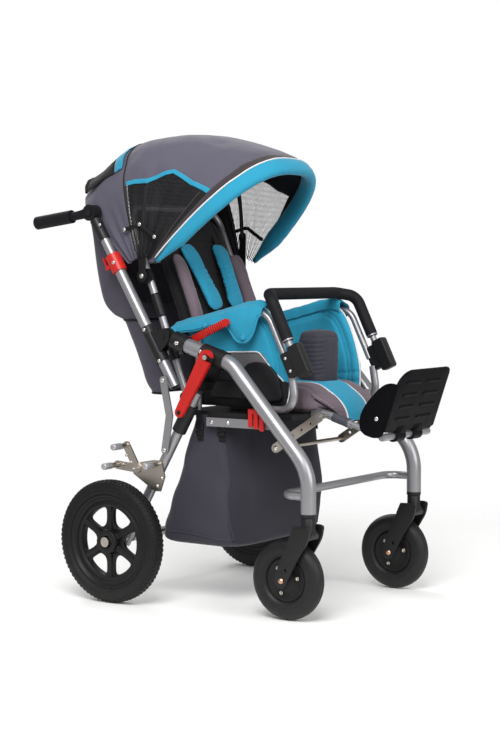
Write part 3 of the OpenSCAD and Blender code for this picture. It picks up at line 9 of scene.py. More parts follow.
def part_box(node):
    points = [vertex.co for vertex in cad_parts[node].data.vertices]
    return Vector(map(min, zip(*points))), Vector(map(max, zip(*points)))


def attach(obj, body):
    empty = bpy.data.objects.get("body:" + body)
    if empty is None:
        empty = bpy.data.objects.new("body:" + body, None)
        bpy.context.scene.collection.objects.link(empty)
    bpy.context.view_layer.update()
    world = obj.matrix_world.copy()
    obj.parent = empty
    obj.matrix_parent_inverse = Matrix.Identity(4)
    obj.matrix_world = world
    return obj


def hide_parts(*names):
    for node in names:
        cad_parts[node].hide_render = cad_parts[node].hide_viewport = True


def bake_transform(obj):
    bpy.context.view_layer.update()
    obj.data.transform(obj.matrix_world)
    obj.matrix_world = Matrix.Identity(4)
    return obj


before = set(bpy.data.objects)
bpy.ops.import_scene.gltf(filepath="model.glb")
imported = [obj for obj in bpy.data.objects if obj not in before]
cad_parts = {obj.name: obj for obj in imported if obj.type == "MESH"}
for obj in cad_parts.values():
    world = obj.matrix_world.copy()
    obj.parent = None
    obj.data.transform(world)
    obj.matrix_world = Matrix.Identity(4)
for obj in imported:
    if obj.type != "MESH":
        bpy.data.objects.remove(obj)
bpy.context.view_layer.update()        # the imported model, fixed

scene = bpy.context.scene
mm = 0.001
axleLow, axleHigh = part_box("rear_axle")
axleX = (axleLow.x + axleHigh.x) / 2
sides = {"right": -1, "left": 1}  # the camera sees the right side


def at(x, y, z):  # millimetres from the rear axle, the centre plane and the ground
    return Vector((axleX + x * mm, y * mm, z * mm))


def mix(a, b, share):
    return a + (b - a) * share


def ramp(x, low, high):  # smooth 0 to 1 between two places
    share = min(max((x - low) / (high - low), 0), 1)
    return share * share * (3 - 2 * share)


def spread(low, high, count):
    return [mix(low, high, i / (count - 1)) for i in range(count)]


# straight lines between knots, read at x
def between(knots, x):
    for (x0, y0), (x1, y1) in zip(knots, knots[1:]):
        if x <= x1:
            return mix(y0, y1, max(x - x0, 0) / (x1 - x0))
    return knots[-1][1]


# a smooth curve through a few points
def throughPoints(points, steps=12):
    points = [Vector(p) for p in points]
    line = [points[0] * 2 - points[1]] + points + [points[-1] * 2 - points[-2]]
    out = []
    for a, b, c, d in zip(line, line[1:], line[2:], line[3:]):
        for i in range(steps):
            t = i / steps
            out.append(0.5 * (2 * b + (c - a) * t + (2 * a - 5 * b + 4 * c - d) * t ** 2
                              + (3 * b - a - 3 * c + d) * t ** 3))
    return out + [points[-1]]


# corners of a path rounded to one radius
def roundedPath(points, radius, steps=10):
    points = [Vector(p) for p in points]
    out = [points[0]]
    for a, b, c in zip(points, points[1:], points[2:]):
        u, v = (a - b).normalized(), (c - b).normalized()
        half = u.angle(v) / 2
        back = radius / math.tan(half)
        centre = b + (u + v).normalized() * radius / math.sin(half)
        start, end = (b + u * back - centre).normalized(), (b + v * back - centre).normalized()
        out += [centre + start.slerp(end, i / steps) * radius for i in range(steps + 1)]
    return out + [points[-1]]


def fullTurn(count):
    return [2 * math.pi * k / count for k in range(count)]


def ovalRing(count, power=1.0, powerAcross=None):  # a unit ring, squarer as the power falls
    ring = [(math.cos(a), math.sin(a)) for a in fullTurn(count)]
    return [(math.copysign(abs(c) ** power, c), math.copysign(abs(s) ** (powerAcross or power), s)) for c, s in ring]


def alongLine(line, share):  # the place at a share of a line, and its stretch
    step = share * (len(line) - 1)
    k = min(int(step), len(line) - 2)
    return line[k].lerp(line[k + 1], step - k), k


def dress(mesh, finish):  # one finish or several, by name
    for name in [finish] if isinstance(finish, str) else finish:
        mesh.materials.append(finishes[name])


def linked(name, data):
    obj = bpy.data.objects.new(name, data)
    scene.collection.objects.link(obj)
    return obj


def addPiece(name, verts, faces, finish, faceMats=None, smooth=True):
    mesh = bpy.data.meshes.new(name)
    mesh.from_pydata([tuple(v) for v in verts], [], faces)
    dress(mesh, finish)
    if faceMats:
        mesh.polygons.foreach_set("material_index", faceMats)
    mesh.polygons.foreach_set("use_smooth", [smooth] * len(mesh.polygons))
    mesh.update()
    return linked(name, mesh)


# faces pointing away from a place inside the piece
def pointOut(obj, inside=None):
    form = bmesh.new()
    form.from_mesh(obj.data)
    bmesh.ops.remove_doubles(form, verts=form.verts, dist=1e-6)
    bmesh.ops.recalc_face_normals(form, faces=form.faces)
    if inside is not None:
        outward = sum((f.normal.dot(f.calc_center_median() - inside) * f.calc_area() for f in form.faces))
        if outward < 0:
            bmesh.ops.reverse_faces(form, faces=form.faces)
    form.to_mesh(obj.data)
    form.free()
    obj.data.update()
    return obj


# rows of points skinned into one surface
def skin(name, rows, finish, closeRow=False, closeAll=False, caps=False, matOf=None, inside=None, skip=None):
    count = len(rows[0])
    verts = [p for row in rows for p in row]
    faces, faceMats = [], []
    for i in range(len(rows) if closeAll else len(rows) - 1):
        for j in range(count if closeRow else count - 1):
            if skip and skip(i, j):
                continue
            k, l = (i + 1) % len(rows), (j + 1) % count
            faces.append((i * count + j, i * count + l, k * count + l, k * count + j))
            faceMats.append(matOf(i, j) if matOf else 0)
    if caps:
        faces += [tuple(range(count))[::-1], tuple((len(rows) - 1) * count + j for j in range(count))]
        faceMats += [faceMats[0], faceMats[-1]]
    return pointOut(addPiece(name, verts, faces, finish, faceMats), inside)


def solid(name, rows, finish, inside=None):  # closed rings with both ends capped
    return skin(name, rows, finish, closeRow=True, caps=True, inside=inside)


# frames carried along a path without twisting
def framesAlong(path, up):
    out = []
    side = None
    for i, p in enumerate(path):
        ahead = (path[min(i + 1, len(path) - 1)] - path[max(i - 1, 0)]).normalized()
        side = (Vector(up).cross(ahead) if side is None else side - ahead * side.dot(ahead)).normalized()
        out.append((p, ahead, side, ahead.cross(side)))
    return out


# an oval section swept along a path; size takes the share along it
def sweep(name, path, finish, wide, thick=None, around=16, up=(0, 0, 1), closed=False, square=1.0):
    path = [Vector(p) for p in path]
    size = wide if callable(wide) else lambda s: (wide, thick or wide)
    rows = []
    for i, (p, _, side, top) in enumerate(framesAlong(path, up)):
        w, t = size(i / (len(path) - 1))
        rows.append([p + side * c * w + top * s * t for c, s in ovalRing(around, square)])
    return skin(name, rows, finish, closeRow=True, closeAll=closed, caps=not closed)


def applied(obj):  # what the modifiers make becomes the mesh
    graph = bpy.context.evaluated_depsgraph_get()
    mesh = bpy.data.meshes.new_from_object(obj.evaluated_get(graph))
    obj.modifiers.clear()
    obj.data = mesh
    return obj


def thicken(obj, thick, liningOffset=0, offset=-1):
    wall = obj.modifiers.new("wall", "SOLIDIFY")
    wall.thickness = thick
    wall.offset = offset
    wall.material_offset = liningOffset
    wall.material_offset_rim = 0
    return applied(obj)


def divide(obj, levels=1):
    finer = obj.modifiers.new("finer", "SUBSURF")
    finer.levels = finer.render_levels = levels
    return applied(obj)


def place(obj, body, slot=None):
    obj.data.polygons.foreach_set("use_smooth", [True] * len(obj.data.polygons))
    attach(obj, body)
    return obj


def edging(name, path, finish, r, around, body, slot):  # a round cord sewn along an edge
    return place(sweep(name, path, finish, r * mm, around=around), body, slot)


def joined(name, pieces):
    form = bmesh.new()
    mats = []
    for piece in pieces:
        for mat in piece.data.materials:
            if mat not in mats:
                mats.append(mat)
    for piece in pieces:
        start = len(form.faces)
        form.from_mesh(piece.data)
        form.faces.ensure_lookup_table()
        own = list(piece.data.materials)
        for face in form.faces[start:]:
            face.material_index = mats.index(own[face.material_index])
    mesh = bpy.data.meshes.new(name)
    form.to_mesh(mesh)
    form.free()
    for mat in mats:
        mesh.materials.append(mat)
    for piece in pieces:
        bpy.data.objects.remove(piece)
    return linked(name, mesh)


print("frame in, helpers ready")


# shared shader groups
def groupOf(name, inputs, outputs):
    tree = bpy.data.node_groups.new(name, "ShaderNodeTree")
    for label, kind, value in inputs:
        socket = tree.interface.new_socket(label, in_out="INPUT", socket_type="NodeSocket" + kind)
        socket.default_value = value
    for label, kind in outputs:
        tree.interface.new_socket(label, in_out="OUTPUT", socket_type="NodeSocket" + kind)
    return tree, tree.nodes.new("NodeGroupInput"), tree.nodes.new("NodeGroupOutput")


def link(a, b):
    b.id_data.links.new(a, b)


def setInputs(node, values):
    for label, value in values.items():
        node.inputs[label].default_value = value


def cloudNode(tree, place, detail):  # noise over the piece's own coordinates
    node = tree.nodes.new("ShaderNodeTexNoise")
    node.inputs["Detail"].default_value = detail
    link(place, node.inputs["Vector"])
    return node


def mathNode(tree, operation, a, b=None):
    node = tree.nodes.new("ShaderNodeMath")
    node.operation = operation
    for socket, value in zip(node.inputs, (a, b)):
        if isinstance(value, (int, float)):
            socket.default_value = value
        elif value is not None:
            link(value, socket)
    return node.outputs[0]


def threadWeave():  # crossing threads on any face, from three sets of bands
    tree, given, out = groupOf("threadWeave", [("Pitch", "Float", 0.0014)], [("Height", "Float"), ("Shade", "Float")])
    coords = tree.nodes.new("ShaderNodeTexCoord")
    split = tree.nodes.new("ShaderNodeSeparateXYZ")
    link(coords.outputs["Object"], split.inputs[0])
    turns = mathNode(tree, "DIVIDE", 2 * math.pi, given.outputs["Pitch"])
    waves = [mathNode(tree, "SINE", mathNode(tree, "MULTIPLY", split.outputs[i], turns)) for i in range(3)]
    pairs = [mathNode(tree, "MULTIPLY", waves[i], waves[(i + 1) % 3]) for i in range(3)]
    total = mathNode(tree, "ADD", mathNode(tree, "ADD", pairs[0], pairs[1]), pairs[2])
    height = mathNode(tree, "MULTIPLY_ADD", total, 0.25)
    height.node.inputs[2].default_value = 0.5
    link(height, out.inputs["Height"])
    # Shade repeats the height; it is used as painted shade, darkening the gaps between the threads
    link(height, out.inputs["Shade"])
    return tree


def softTone():  # slow uneven shading, as on handled cloth and plastic
    tree, given, out = groupOf("softTone",
                               [("Scale", "Float", 9.0), ("Depth", "Float", 0.3), ("Tone", "Color", (1, 1, 1, 1))],
                               [("Color", "Color"), ("Mask", "Float")])
    coords = tree.nodes.new("ShaderNodeTexCoord")
    cloud = cloudNode(tree, coords.outputs["Object"], 5)
    link(given.outputs["Scale"], cloud.inputs["Scale"])
    level = mathNode(tree, "SUBTRACT", cloud.outputs["Fac"], 0.5)
    level = mathNode(tree, "MULTIPLY", level, given.outputs["Depth"])
    level = mathNode(tree, "ADD", mathNode(tree, "MULTIPLY", level, 2.0), 1.0)
    toned = tree.nodes.new("ShaderNodeVectorMath")
    toned.operation = "SCALE"
    link(given.outputs["Tone"], toned.inputs[0])
    link(level, toned.inputs["Scale"])
    link(toned.outputs[0], out.inputs["Color"])
    link(cloud.outputs["Fac"], out.inputs["Mask"])
    return tree


def fineGrain():  # moulded grain, pores or cast skin
    tree, given, out = groupOf("fineGrain", [("Scale", "Float", 900.0)], [("Height", "Float"), ("Mask", "Float")])
    coords = tree.nodes.new("ShaderNodeTexCoord")
    cells = tree.nodes.new("ShaderNodeTexVoronoi")
    cells.feature = "SMOOTH_F1"
    link(coords.outputs["Object"], cells.inputs["Vector"])
    link(given.outputs["Scale"], cells.inputs["Scale"])
    cloud = cloudNode(tree, coords.outputs["Object"], 6)
    cloud.inputs["Scale"].default_value = 45
    link(cells.outputs["Distance"], out.inputs["Height"])
    link(cloud.outputs["Fac"], out.inputs["Mask"])
    return tree


def scuffs():  # thin scratches and rubbed spots
    tree, given, out = groupOf("scuffs", [("Scale", "Float", 40.0), ("Amount", "Float", 0.5)], [("Mask", "Float")])
    coords = tree.nodes.new("ShaderNodeTexCoord")
    stretch = tree.nodes.new("ShaderNodeMapping")
    stretch.inputs["Scale"].default_value = (1, 1, 0.15)
    link(coords.outputs["Object"], stretch.inputs["Vector"])
    cloud = cloudNode(tree, stretch.outputs[0], 8)
    cloud.inputs["Roughness"].default_value = 0.65
    link(given.outputs["Scale"], cloud.inputs["Scale"])
    over = mathNode(tree, "SUBTRACT", cloud.outputs["Fac"], 0.62)
    over = mathNode(tree, "MULTIPLY", over, 9.0)
    over.node.use_clamp = True
    link(mathNode(tree, "MULTIPLY", over, given.outputs["Amount"]), out.inputs["Mask"])
    return tree


def floorDust():  # pale dust that thins out with height
    tree, given, out = groupOf("floorDust", [("Height", "Float", 0.16), ("Amount", "Float", 0.3)], [("Mask", "Float")])
    coords = tree.nodes.new("ShaderNodeTexCoord")
    split = tree.nodes.new("ShaderNodeSeparateXYZ")
    link(coords.outputs["Object"], split.inputs[0])
    fall = mathNode(tree, "SUBTRACT", 1.0, mathNode(tree, "DIVIDE", split.outputs[2], given.outputs["Height"]))
    fall.node.use_clamp = True
    cloud = cloudNode(tree, coords.outputs["Object"], 7)
    cloud.inputs["Scale"].default_value = 60
    both = mathNode(tree, "MULTIPLY", fall, cloud.outputs["Fac"])
    link(mathNode(tree, "MULTIPLY", both, given.outputs["Amount"]), out.inputs["Mask"])
    return tree


groups = {make.__name__: make() for make in (threadWeave, softTone, fineGrain, scuffs, floorDust)}


def putGroup(tree, name, **values):
    node = tree.nodes.new("ShaderNodeGroup")
    node.node_tree = groups[name]
    setInputs(node, values)
    return node


def shaded(name):
    mat = bpy.data.materials.new(name)
    mat.use_nodes = True
    return mat, mat.node_tree, mat.node_tree.nodes["Principled BSDF"]


def bumpInto(tree, shader, height, strength, distance):
    bump = tree.nodes.new("ShaderNodeBump")
    setInputs(bump, {"Strength": strength, "Distance": distance})
    link(height, bump.inputs["Height"])
    link(bump.outputs[0], shader.inputs["Normal"])


def rangeOf(tree, value, low, high):
    node = tree.nodes.new("ShaderNodeMapRange")
    setInputs(node, {"To Min": low, "To Max": high})
    link(value, node.inputs["Value"])
    return node.outputs[0]


def tint(tree, mask, under, overColour):  # a colour laid over another by a mask
    node = tree.nodes.new("ShaderNodeMix")
    node.data_type = "RGBA"
    link(mask, node.inputs["Factor"])
    if isinstance(under, tuple):
        node.inputs[6].default_value = under
    else:
        link(under, node.inputs[6])
    node.inputs[7].default_value = overColour
    return node.outputs[2]


def clothFinish(name, colour, pitch=0.0013, sheen=0.25, rough=0.85, depth=0.16, weave=0.35, patch=9.0):
    mat, tree, shader = shaded(name)
    tone = putGroup(tree, "softTone", Scale=patch, Depth=depth, Tone=(*colour, 1))
    threads = putGroup(tree, "threadWeave", Pitch=pitch)
    # painted shade: the cloth's colour is darkened in the gaps between the threads
    dark = rangeOf(tree, threads.outputs["Shade"], 0.25, 0.0)
    link(tint(tree, dark, tone.outputs["Color"], (*[c * 0.35 for c in colour], 1)),
         shader.inputs["Base Color"])
    link(rangeOf(tree, tone.outputs["Mask"], rough - 0.08, rough + 0.08), shader.inputs["Roughness"])
    setInputs(shader, {"Sheen Weight": sheen, "Sheen Roughness": 0.4, "Specular IOR Level": 0.3})
    bumpInto(tree, shader, threads.outputs["Height"], weave, 0.0005)
    return mat


def plasticFinish(name, colour, rough=0.42, grain=900.0, bump=0.12, worn=(0.3, 0.3, 0.3), wear=0.2, coat=0.0, dust=0.0,
                  gloss=0.3):
    mat, tree, shader = shaded(name)
    tone = putGroup(tree, "softTone", Scale=14.0, Depth=0.12, Tone=(*colour, 1))
    rubbed = putGroup(tree, "scuffs", Scale=38.0, Amount=wear)
    base = tint(tree, rubbed.outputs["Mask"], tone.outputs["Color"], (*worn, 1))
    if dust:
        base = tint(tree, putGroup(tree, "floorDust", Amount=dust).outputs["Mask"], base, (0.32, 0.29, 0.25, 1))
    link(base, shader.inputs["Base Color"])
    grainy = putGroup(tree, "fineGrain", Scale=grain)
    link(rangeOf(tree, grainy.outputs["Mask"], rough - 0.1, rough + 0.1), shader.inputs["Roughness"])
    setInputs(shader, {"Coat Weight": coat, "Specular IOR Level": gloss})
    bumpInto(tree, shader, grainy.outputs["Height"], bump, 0.0004)
    return mat


def metalFinish(name, colour, rough=0.35, metallic=1.0, spots=(0.3, 0.28, 0.25), wear=0.25, depth=0.1, coat=0.0):
    mat, tree, shader = shaded(name)
    tone = putGroup(tree, "softTone", Scale=22.0, Depth=depth, Tone=(*colour, 1))
    rubbed = putGroup(tree, "scuffs", Scale=60.0, Amount=wear)
    link(tint(tree, rubbed.outputs["Mask"], tone.outputs["Color"], (*spots, 1)), shader.inputs["Base Color"])
    grainy = putGroup(tree, "fineGrain", Scale=1400.0)
    link(rangeOf(tree, grainy.outputs["Mask"], rough - 0.09, rough + 0.11), shader.inputs["Roughness"])
    setInputs(shader, {"Metallic": metallic, "Coat Weight": coat})
    bumpInto(tree, shader, grainy.outputs["Height"], 0.05, 0.0003)
    return mat


def netFinish(name, colour, pitch=0.0032, wire=0.27):  # open mesh: threads stay, holes let light through
    mat, tree, shader = shaded(name)
    coords = tree.nodes.new("ShaderNodeTexCoord")
    split = tree.nodes.new("ShaderNodeSeparateXYZ")
    link(coords.outputs["Object"], split.inputs[0])
    bars = []
    for axis in (0, 2):
        turn = mathNode(tree, "FRACT", mathNode(tree, "DIVIDE", split.outputs[axis], pitch))
        bars.append(mathNode(tree, "LESS_THAN", turn, wire))
    link(mathNode(tree, "MAXIMUM", bars[0], bars[1]), shader.inputs["Alpha"])
    tone = putGroup(tree, "softTone", Scale=12.0, Depth=0.2, Tone=(*colour, 1))
    link(tone.outputs["Color"], shader.inputs["Base Color"])
    setInputs(shader, {"Roughness": 0.7, "Specular IOR Level": 0.35})
    return mat


# for each maker: colour, then what differs from its usual values
finishTables = {
    metalFinish: {
        "tubeSilver": ((0.31, 0.305, 0.32),
            dict(rough=0.34, metallic=0.72, spots=(0.26, 0.26, 0.27), wear=0.2, depth=0.05)),
        "zincSteel": ((0.50, 0.455, 0.40), dict(rough=0.33, spots=(0.22, 0.17, 0.11), wear=0.5, depth=0.3)),
        "rivetSteel": ((0.72, 0.70, 0.67), dict(rough=0.26, wear=0.15)),
        "copperBolt": ((0.62, 0.36, 0.24), dict(rough=0.3, wear=0.2)),
        "brassNut": ((0.58, 0.47, 0.30), dict(rough=0.32, wear=0.4, depth=0.25)),
        "pegGrey": ((0.42, 0.41, 0.42), dict(rough=0.45, metallic=0.6, wear=0.2)),
        "satinGrey": ((0.16, 0.155, 0.165), dict(rough=0.42, metallic=0.6, wear=0.25)),
    },
    plasticFinish: {
        "blackPlastic": ((0.007, 0.007, 0.008), dict(worn=(0.1, 0.1, 0.1), wear=0.08, gloss=0.28)),
        "castBlack": ((0.008, 0.008, 0.009),
            dict(rough=0.42, grain=500.0, bump=0.2, worn=(0.09, 0.09, 0.09), wear=0.1, gloss=0.3)),
        "redPlastic": ((0.46, 0.012, 0.009), dict(rough=0.36, worn=(0.55, 0.12, 0.1), wear=0.12, coat=0.12)),
        "greySleeve": ((0.055, 0.055, 0.072), dict(rough=0.5, worn=(0.12, 0.12, 0.13), wear=0.1)),
        "footBlack": ((0.002, 0.002, 0.003),
            dict(rough=0.5, grain=420.0, bump=0.2, worn=(0.03, 0.03, 0.03), wear=0.06, gloss=0.08)),
        "foamBlack": ((0.005, 0.005, 0.007),
            dict(rough=0.68, grain=650.0, bump=0.35, worn=(0.04, 0.04, 0.04), wear=0.05, gloss=0.22)),
        "tyreRubber": ((0.004, 0.004, 0.005),
            dict(rough=0.62, grain=600.0, bump=0.3, worn=(0.05, 0.05, 0.05), wear=0.12, dust=0.07, gloss=0.25)),
        "rollerRubber": ((0.006, 0.006, 0.007),
            dict(rough=0.5, grain=500.0, bump=0.2, worn=(0.07, 0.07, 0.07), wear=0.12, dust=0.05, gloss=0.3)),
        "rimBlack": ((0.0055, 0.0055, 0.006),
            dict(rough=0.46, worn=(0.06, 0.06, 0.06), wear=0.08, dust=0.04, gloss=0.25)),
    },
    clothFinish: {
        "hoodGrey": ((0.098, 0.091, 0.126), dict(depth=0.14)),
        # the drape is the hood's grey cloth, darkened as painted shade
        "drapeGrey": ((0.070, 0.064, 0.086), dict(depth=0.16, sheen=0.15)),
        "bagGrey": ((0.044, 0.042, 0.058), dict(depth=0.22, sheen=0.12)),
        "bagDark": ((0.027, 0.026, 0.036), dict(depth=0.22, sheen=0.1)),
        "turquoise": ((0.020, 0.285, 0.445), dict(sheen=0.2, depth=0.14)),
        "mauveGrey": ((0.150, 0.112, 0.134), dict(depth=0.14)),
        "pommelGrey": ((0.036, 0.035, 0.048), dict(depth=0.16, sheen=0.12)),
        "backBlack": ((0.010, 0.0095, 0.011), dict(depth=0.25, sheen=0.08)),
        "liningDark": ((0.014, 0.013, 0.016), dict(depth=0.2, sheen=0.08)),
        "bindingBlack": ((0.007, 0.007, 0.008), dict(pitch=0.0009, sheen=0.08)),
        "stripBrown": ((0.045, 0.036, 0.040), dict(pitch=0.0011)),
        "webbing": ((0.006, 0.006, 0.007), dict(pitch=0.0022, weave=0.6, sheen=0.08)),
        "pipingWhite": ((0.72, 0.72, 0.72), dict(pitch=0.0009, depth=0.06)),
        "threadGrey": ((0.20, 0.19, 0.22), dict(pitch=0.0006)),
        "threadBlue": ((0.012, 0.19, 0.30), dict(pitch=0.0006)),
    },
    netFinish: {
        "windowNet": ((0.016, 0.016, 0.018), {}),
    },
}
finishes = {}
for make, table in finishTables.items():
    for name, (colour, more) in table.items():
        finishes[name] = make(name, colour, **more)
print("finishes made:", len(finishes))

nodeFinish = {
    "tubeSilver": ["side_tubes", "front_cross_bar", "seat_frame", "rear_legs", "push_tubes", "fold_links",
                   "backrest_frame",
                   "legrest_tubes", "foot_tubes", "bumper_bar", "handle_tube_left", "handle_tube_right"],
    "castBlack": ["shoulder_lugs", "elbow_castings", "push_sleeves", "rear_leg_brackets", "handle_elbow_left",
                  "handle_elbow_right", "bumper_sockets", "caster_fork_left", "caster_fork_right", "caster_bushes"],
    "blackPlastic": ["seat_pan", "hood_pivots", "hood_mid_bow", "hood_stays", "handle_button_left",
                     "handle_button_right"],
    "footBlack": ["footplate"],
    "redPlastic": ["clamp_collars", "clamp_lever_left", "clamp_lever_right", "lock_lever_left", "lock_lever_right",
                   "recline_lever", "tilt_grip"],
    "zincSteel": ["brake_brackets", "brake_lever_left", "brake_lever_right", "legrest_struts", "rear_axle"],
    "rivetSteel": ["frame_rivets"],
    "foamBlack": ["grip_left", "grip_right"],
    "tyreRubber": ["rear_tyre_left", "rear_tyre_right"],
    "rollerRubber": ["front_wheel_left", "front_wheel_right"],
    "rimBlack": ["rear_rim_left", "rear_rim_right"],
}
for finish, names in nodeFinish.items():
    for name in names:
        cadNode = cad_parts[name]
        for slot in cadNode.material_slots:
            slot.material = finishes[finish]
print("frame parts finished")


# hood: bows swing about one pivot, cloth stretched over them
hood = {"pivot": (21.624, 792.99), "half": 224, "front": 412, "mid": 356, "rear": 320, "frontTurn": 42, "rearTurn": 138,
        "power": (0.77, 0.48),
        "low": 8, "stop": 46, "sag": 5, "gather": 2.6, "cloth": 2.2, "net": 0.6, "clothTurn": 43.0, "netTurn": 48.0,
        "zipTurn": 103.0}
windowTop = [(47.5, 36.5), (59.5, 36.0), (73.5, 39.0), (88.0, 30.0), (103.0, 29.5)]  # bow turn, place round the bow
hem = {"inset": 13, "wide": 23, "thick": 15, "pipe": 1.9, "stripTurns": (44.6, 47.9)}


def bowShape(turn):  # reach from the pivot, and how square the arch is
    s = (turn - hood["frontTurn"]) / (hood["rearTurn"] - hood["frontTurn"])
    swing = math.sin(math.pi * min(max(s, 0), 1))
    return mix(hood["front"] if s < 0.5 else hood["rear"], hood["mid"], swing), mix(*hood["power"], s)


def bowPoint(turn, t, inset=0.0):
    reach, power = bowShape(turn)
    c = math.cos(math.radians(t))
    out = (reach - inset) * math.sin(math.radians(t)) ** power
    y = -(hood["half"] - inset) * math.copysign(abs(c) ** power, c)
    a = math.radians(turn)
    return at(hood["pivot"][0] + out * math.cos(a), y, hood["pivot"][1] + out * math.sin(a))


def hoodPoint(turn, t, lift=0.0):  # taut between the bows, gathered towards the pivots
    sag = hood["sag"] * math.sin(math.pi * ((turn - hood["frontTurn"]) / 48 % 1)) ** 2
    edge = min(t, 180 - t)
    gather = hood["gather"] * math.exp(-(edge - hood["low"]) / 11) * math.sin(turn * 0.62 + (t > 90))
    sag += 4.2 * noise.noise((turn * 0.06, t * 0.045, 3.1)) + 1.8 * noise.noise((turn * 0.16, t * 0.1, 8.4))
    sag += 1.3 * abs(noise.noise((turn * 0.3 + t * 0.08, t * 0.16, 5.7)))
    return bowPoint(turn, t, sag + gather - lift)


def lowEdge(turn):  # the cloth stops a hand's width short of the pivot
    reach, power = bowShape(turn)
    return math.degrees(math.asin((hood["stop"] / reach) ** (1 / power)))


def onSide(side, t):  # the place round the bow, from either end
    return t if side < 0 else 180 - t


def hoodRow(turn, rise=19, crest=64):
    edge, low = between(windowTop, turn), lowEdge(turn)
    rising = [low + (edge - low) * (k / (rise - 1)) ** 1.6 for k in range(rise)]
    return rising + spread(edge, 180 - edge, crest)[1:] + [180 - t for t in reversed(rising)][1:]


# the sheet gets its thickness, with the lining finish on its inner face when one is given
def clothSheet(obj, thick, lining=0):
    thicken(obj, thick, lining)
    return obj


def followHood(obj):
    obj.data.polygons.foreach_set("use_smooth", [True] * len(obj.data.polygons))
    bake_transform(obj)
    return obj


def makeHood():
    turns = (spread(hood["clothTurn"], hood["netTurn"], 5) + spread(hood["netTurn"], hood["zipTurn"], 46)[1:]
             + spread(hood["zipTurn"], hood["rearTurn"], 28)[1:])
    rows = [[hoodPoint(a, t) for t in hoodRow(a)] for a in turns]
    first, last = 4, 4 + 45  # columns of the window
    low, high = 18, 18 + 63  # rows of the crest

    def netFace(i, j):
        return first <= i < last and (j < low or j >= high)

    inside = at(hood["pivot"][0], 0, hood["pivot"][1] + 120)
    cloth = skin("hoodCloth", rows, ["hoodGrey", "liningDark"], skip=netFace, inside=inside)
    clothSheet(cloth, hood["cloth"] * mm, lining=1)
    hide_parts("hood_shell")
    followHood(cloth)
    for name, side in sides.items():
        span = range(0, low + 1) if side < 0 else range(high, len(rows[0]))
        panes = [[rows[i][j] for j in span] for i in range(first, last + 1)]
        net = skin("windowNet_" + name, panes, "windowNet", inside=inside)
        clothSheet(net, hood["net"] * mm)
        followHood(net)


def hoodBand(name, edges, finish, lift, thick):  # a band on the cloth between two lines of (turn, place)
    rows = []
    for (a0, t0), (a1, t1) in edges:
        rows.append([hoodPoint(a0 + (a1 - a0) * k / 4, t0 + (t1 - t0) * k / 4, lift) for k in range(5)])
    band = skin(name, rows, finish, inside=at(hood["pivot"][0], 0, hood["pivot"][1] + 120))
    thicken(band, thick * mm)
    return followHood(band)


def makeHoodTrim():
    rounds = spread(5, 175, 100)
    a0, a1 = hem["stripTurns"]
    hoodBand("hemStrip", [((a0, t), (a1, t)) for t in rounds], "stripBrown", 1.4, 1.6)
    for name, side in sides.items():
        turns = spread(48.2, 104.2, 60)
        line = [(a, between(windowTop, a)) for a in turns]
        edges = [((a, onSide(side, t - 1.1)), (a, onSide(side, t + 1.5))) for a, t in line]
        hoodBand("windowTrim_" + name, edges, "turquoise", 1.6, 1.6)
        frontEdge = [((48.0, onSide(side, t)), (51.4, onSide(side, t))) for t in spread(4, 36, 28)]
        hoodBand("windowFrontBand_" + name, frontEdge, "bindingBlack", 1.2, 1.4)
        zipTape = [((101.6, onSide(side, t)), (105.2, onSide(side, t))) for t in spread(2.5, 29, 30)]
        hoodBand("zipTape_" + name, zipTape, "bindingBlack", 1.0, 1.4)
        pipe = sweep("windowPiping_" + name, [hoodPoint(51.6, onSide(side, t), 2.2) for t in spread(4, 34, 46)],
                     "stripBrown", 1.3 * mm, around=8)
        followHood(pipe)
    seam = sweep("rearSeam", [hoodPoint(106.0, t, 1.0) for t in spread(3, 177, 140)], "bindingBlack", 1.5 * mm,
                 around=8)
    followHood(seam)
    pipe = sweep("hemPiping", [hoodPoint(a0 - 0.1, t, 2.6) for t in spread(5, 175, 150)], "pipingWhite",
                 hem["pipe"] * mm, around=10)
    place(pipe, "hood_front", "grey_cloth")


def makeHem():  # padded roll round the front bow
    rounds = spread(4.5, 175.5, 150)
    path = [bowPoint(hood["frontTurn"], t, hem["inset"]) for t in rounds]
    a = math.radians(hood["frontTurn"])

    def fullness(s):
        end = ramp(min(s, 1 - s), -0.012, 0.07)
        pucker = 1 + 0.035 * noise.noise((s * 46, 2.0, 0)) + 0.02 * noise.noise((s * 120, 5.0, 0))
        return hem["thick"] * mm * mix(0.35, 1, end) * pucker, hem["wide"] * mm * mix(0.25, 1, end) * (2 - pucker)

    roll = sweep("hoodHem", path, "turquoise", fullness, around=28, up=(-math.sin(a), 0, math.cos(a)), square=0.9)
    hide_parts("hood_front_bow")
    place(roll, "hood_front", "blue_cloth")


def makeRearFlap():  # black flap with a blue top strip, across the back of the hood
    rounds = spread(44, 136, 70)
    flap = {"turns": (114, 132), "lift": 3.5, "drop": 12.0, "strip": (108.5, 113.6)}
    a0, a1 = flap["turns"]
    rows = [[hoodPoint(mix(a0, a1, k / 8), t, mix(flap["lift"], flap["drop"], (k / 8) ** 2)) for k in range(9)]
            for t in rounds]
    piece = skin("rearFlap", rows, "bindingBlack", inside=at(hood["pivot"][0], 0, hood["pivot"][1] + 120))
    clothSheet(piece, 2.0 * mm)
    followHood(piece)
    roll = sweep("rearFlapRoll", [hoodPoint(a1, t, flap["drop"] + 1) for t in spread(43.5, 136.5, 80)], "bindingBlack",
                 4.2 * mm, around=12)
    followHood(roll)
    s0, s1 = flap["strip"]
    hoodBand("rearFlapStrip", [((s0, t), (s1, t)) for t in rounds], "turquoise", 4.0, 2.4)


makeHood()
makeHoodTrim()
makeHem()
makeRearFlap()
print("hood done")

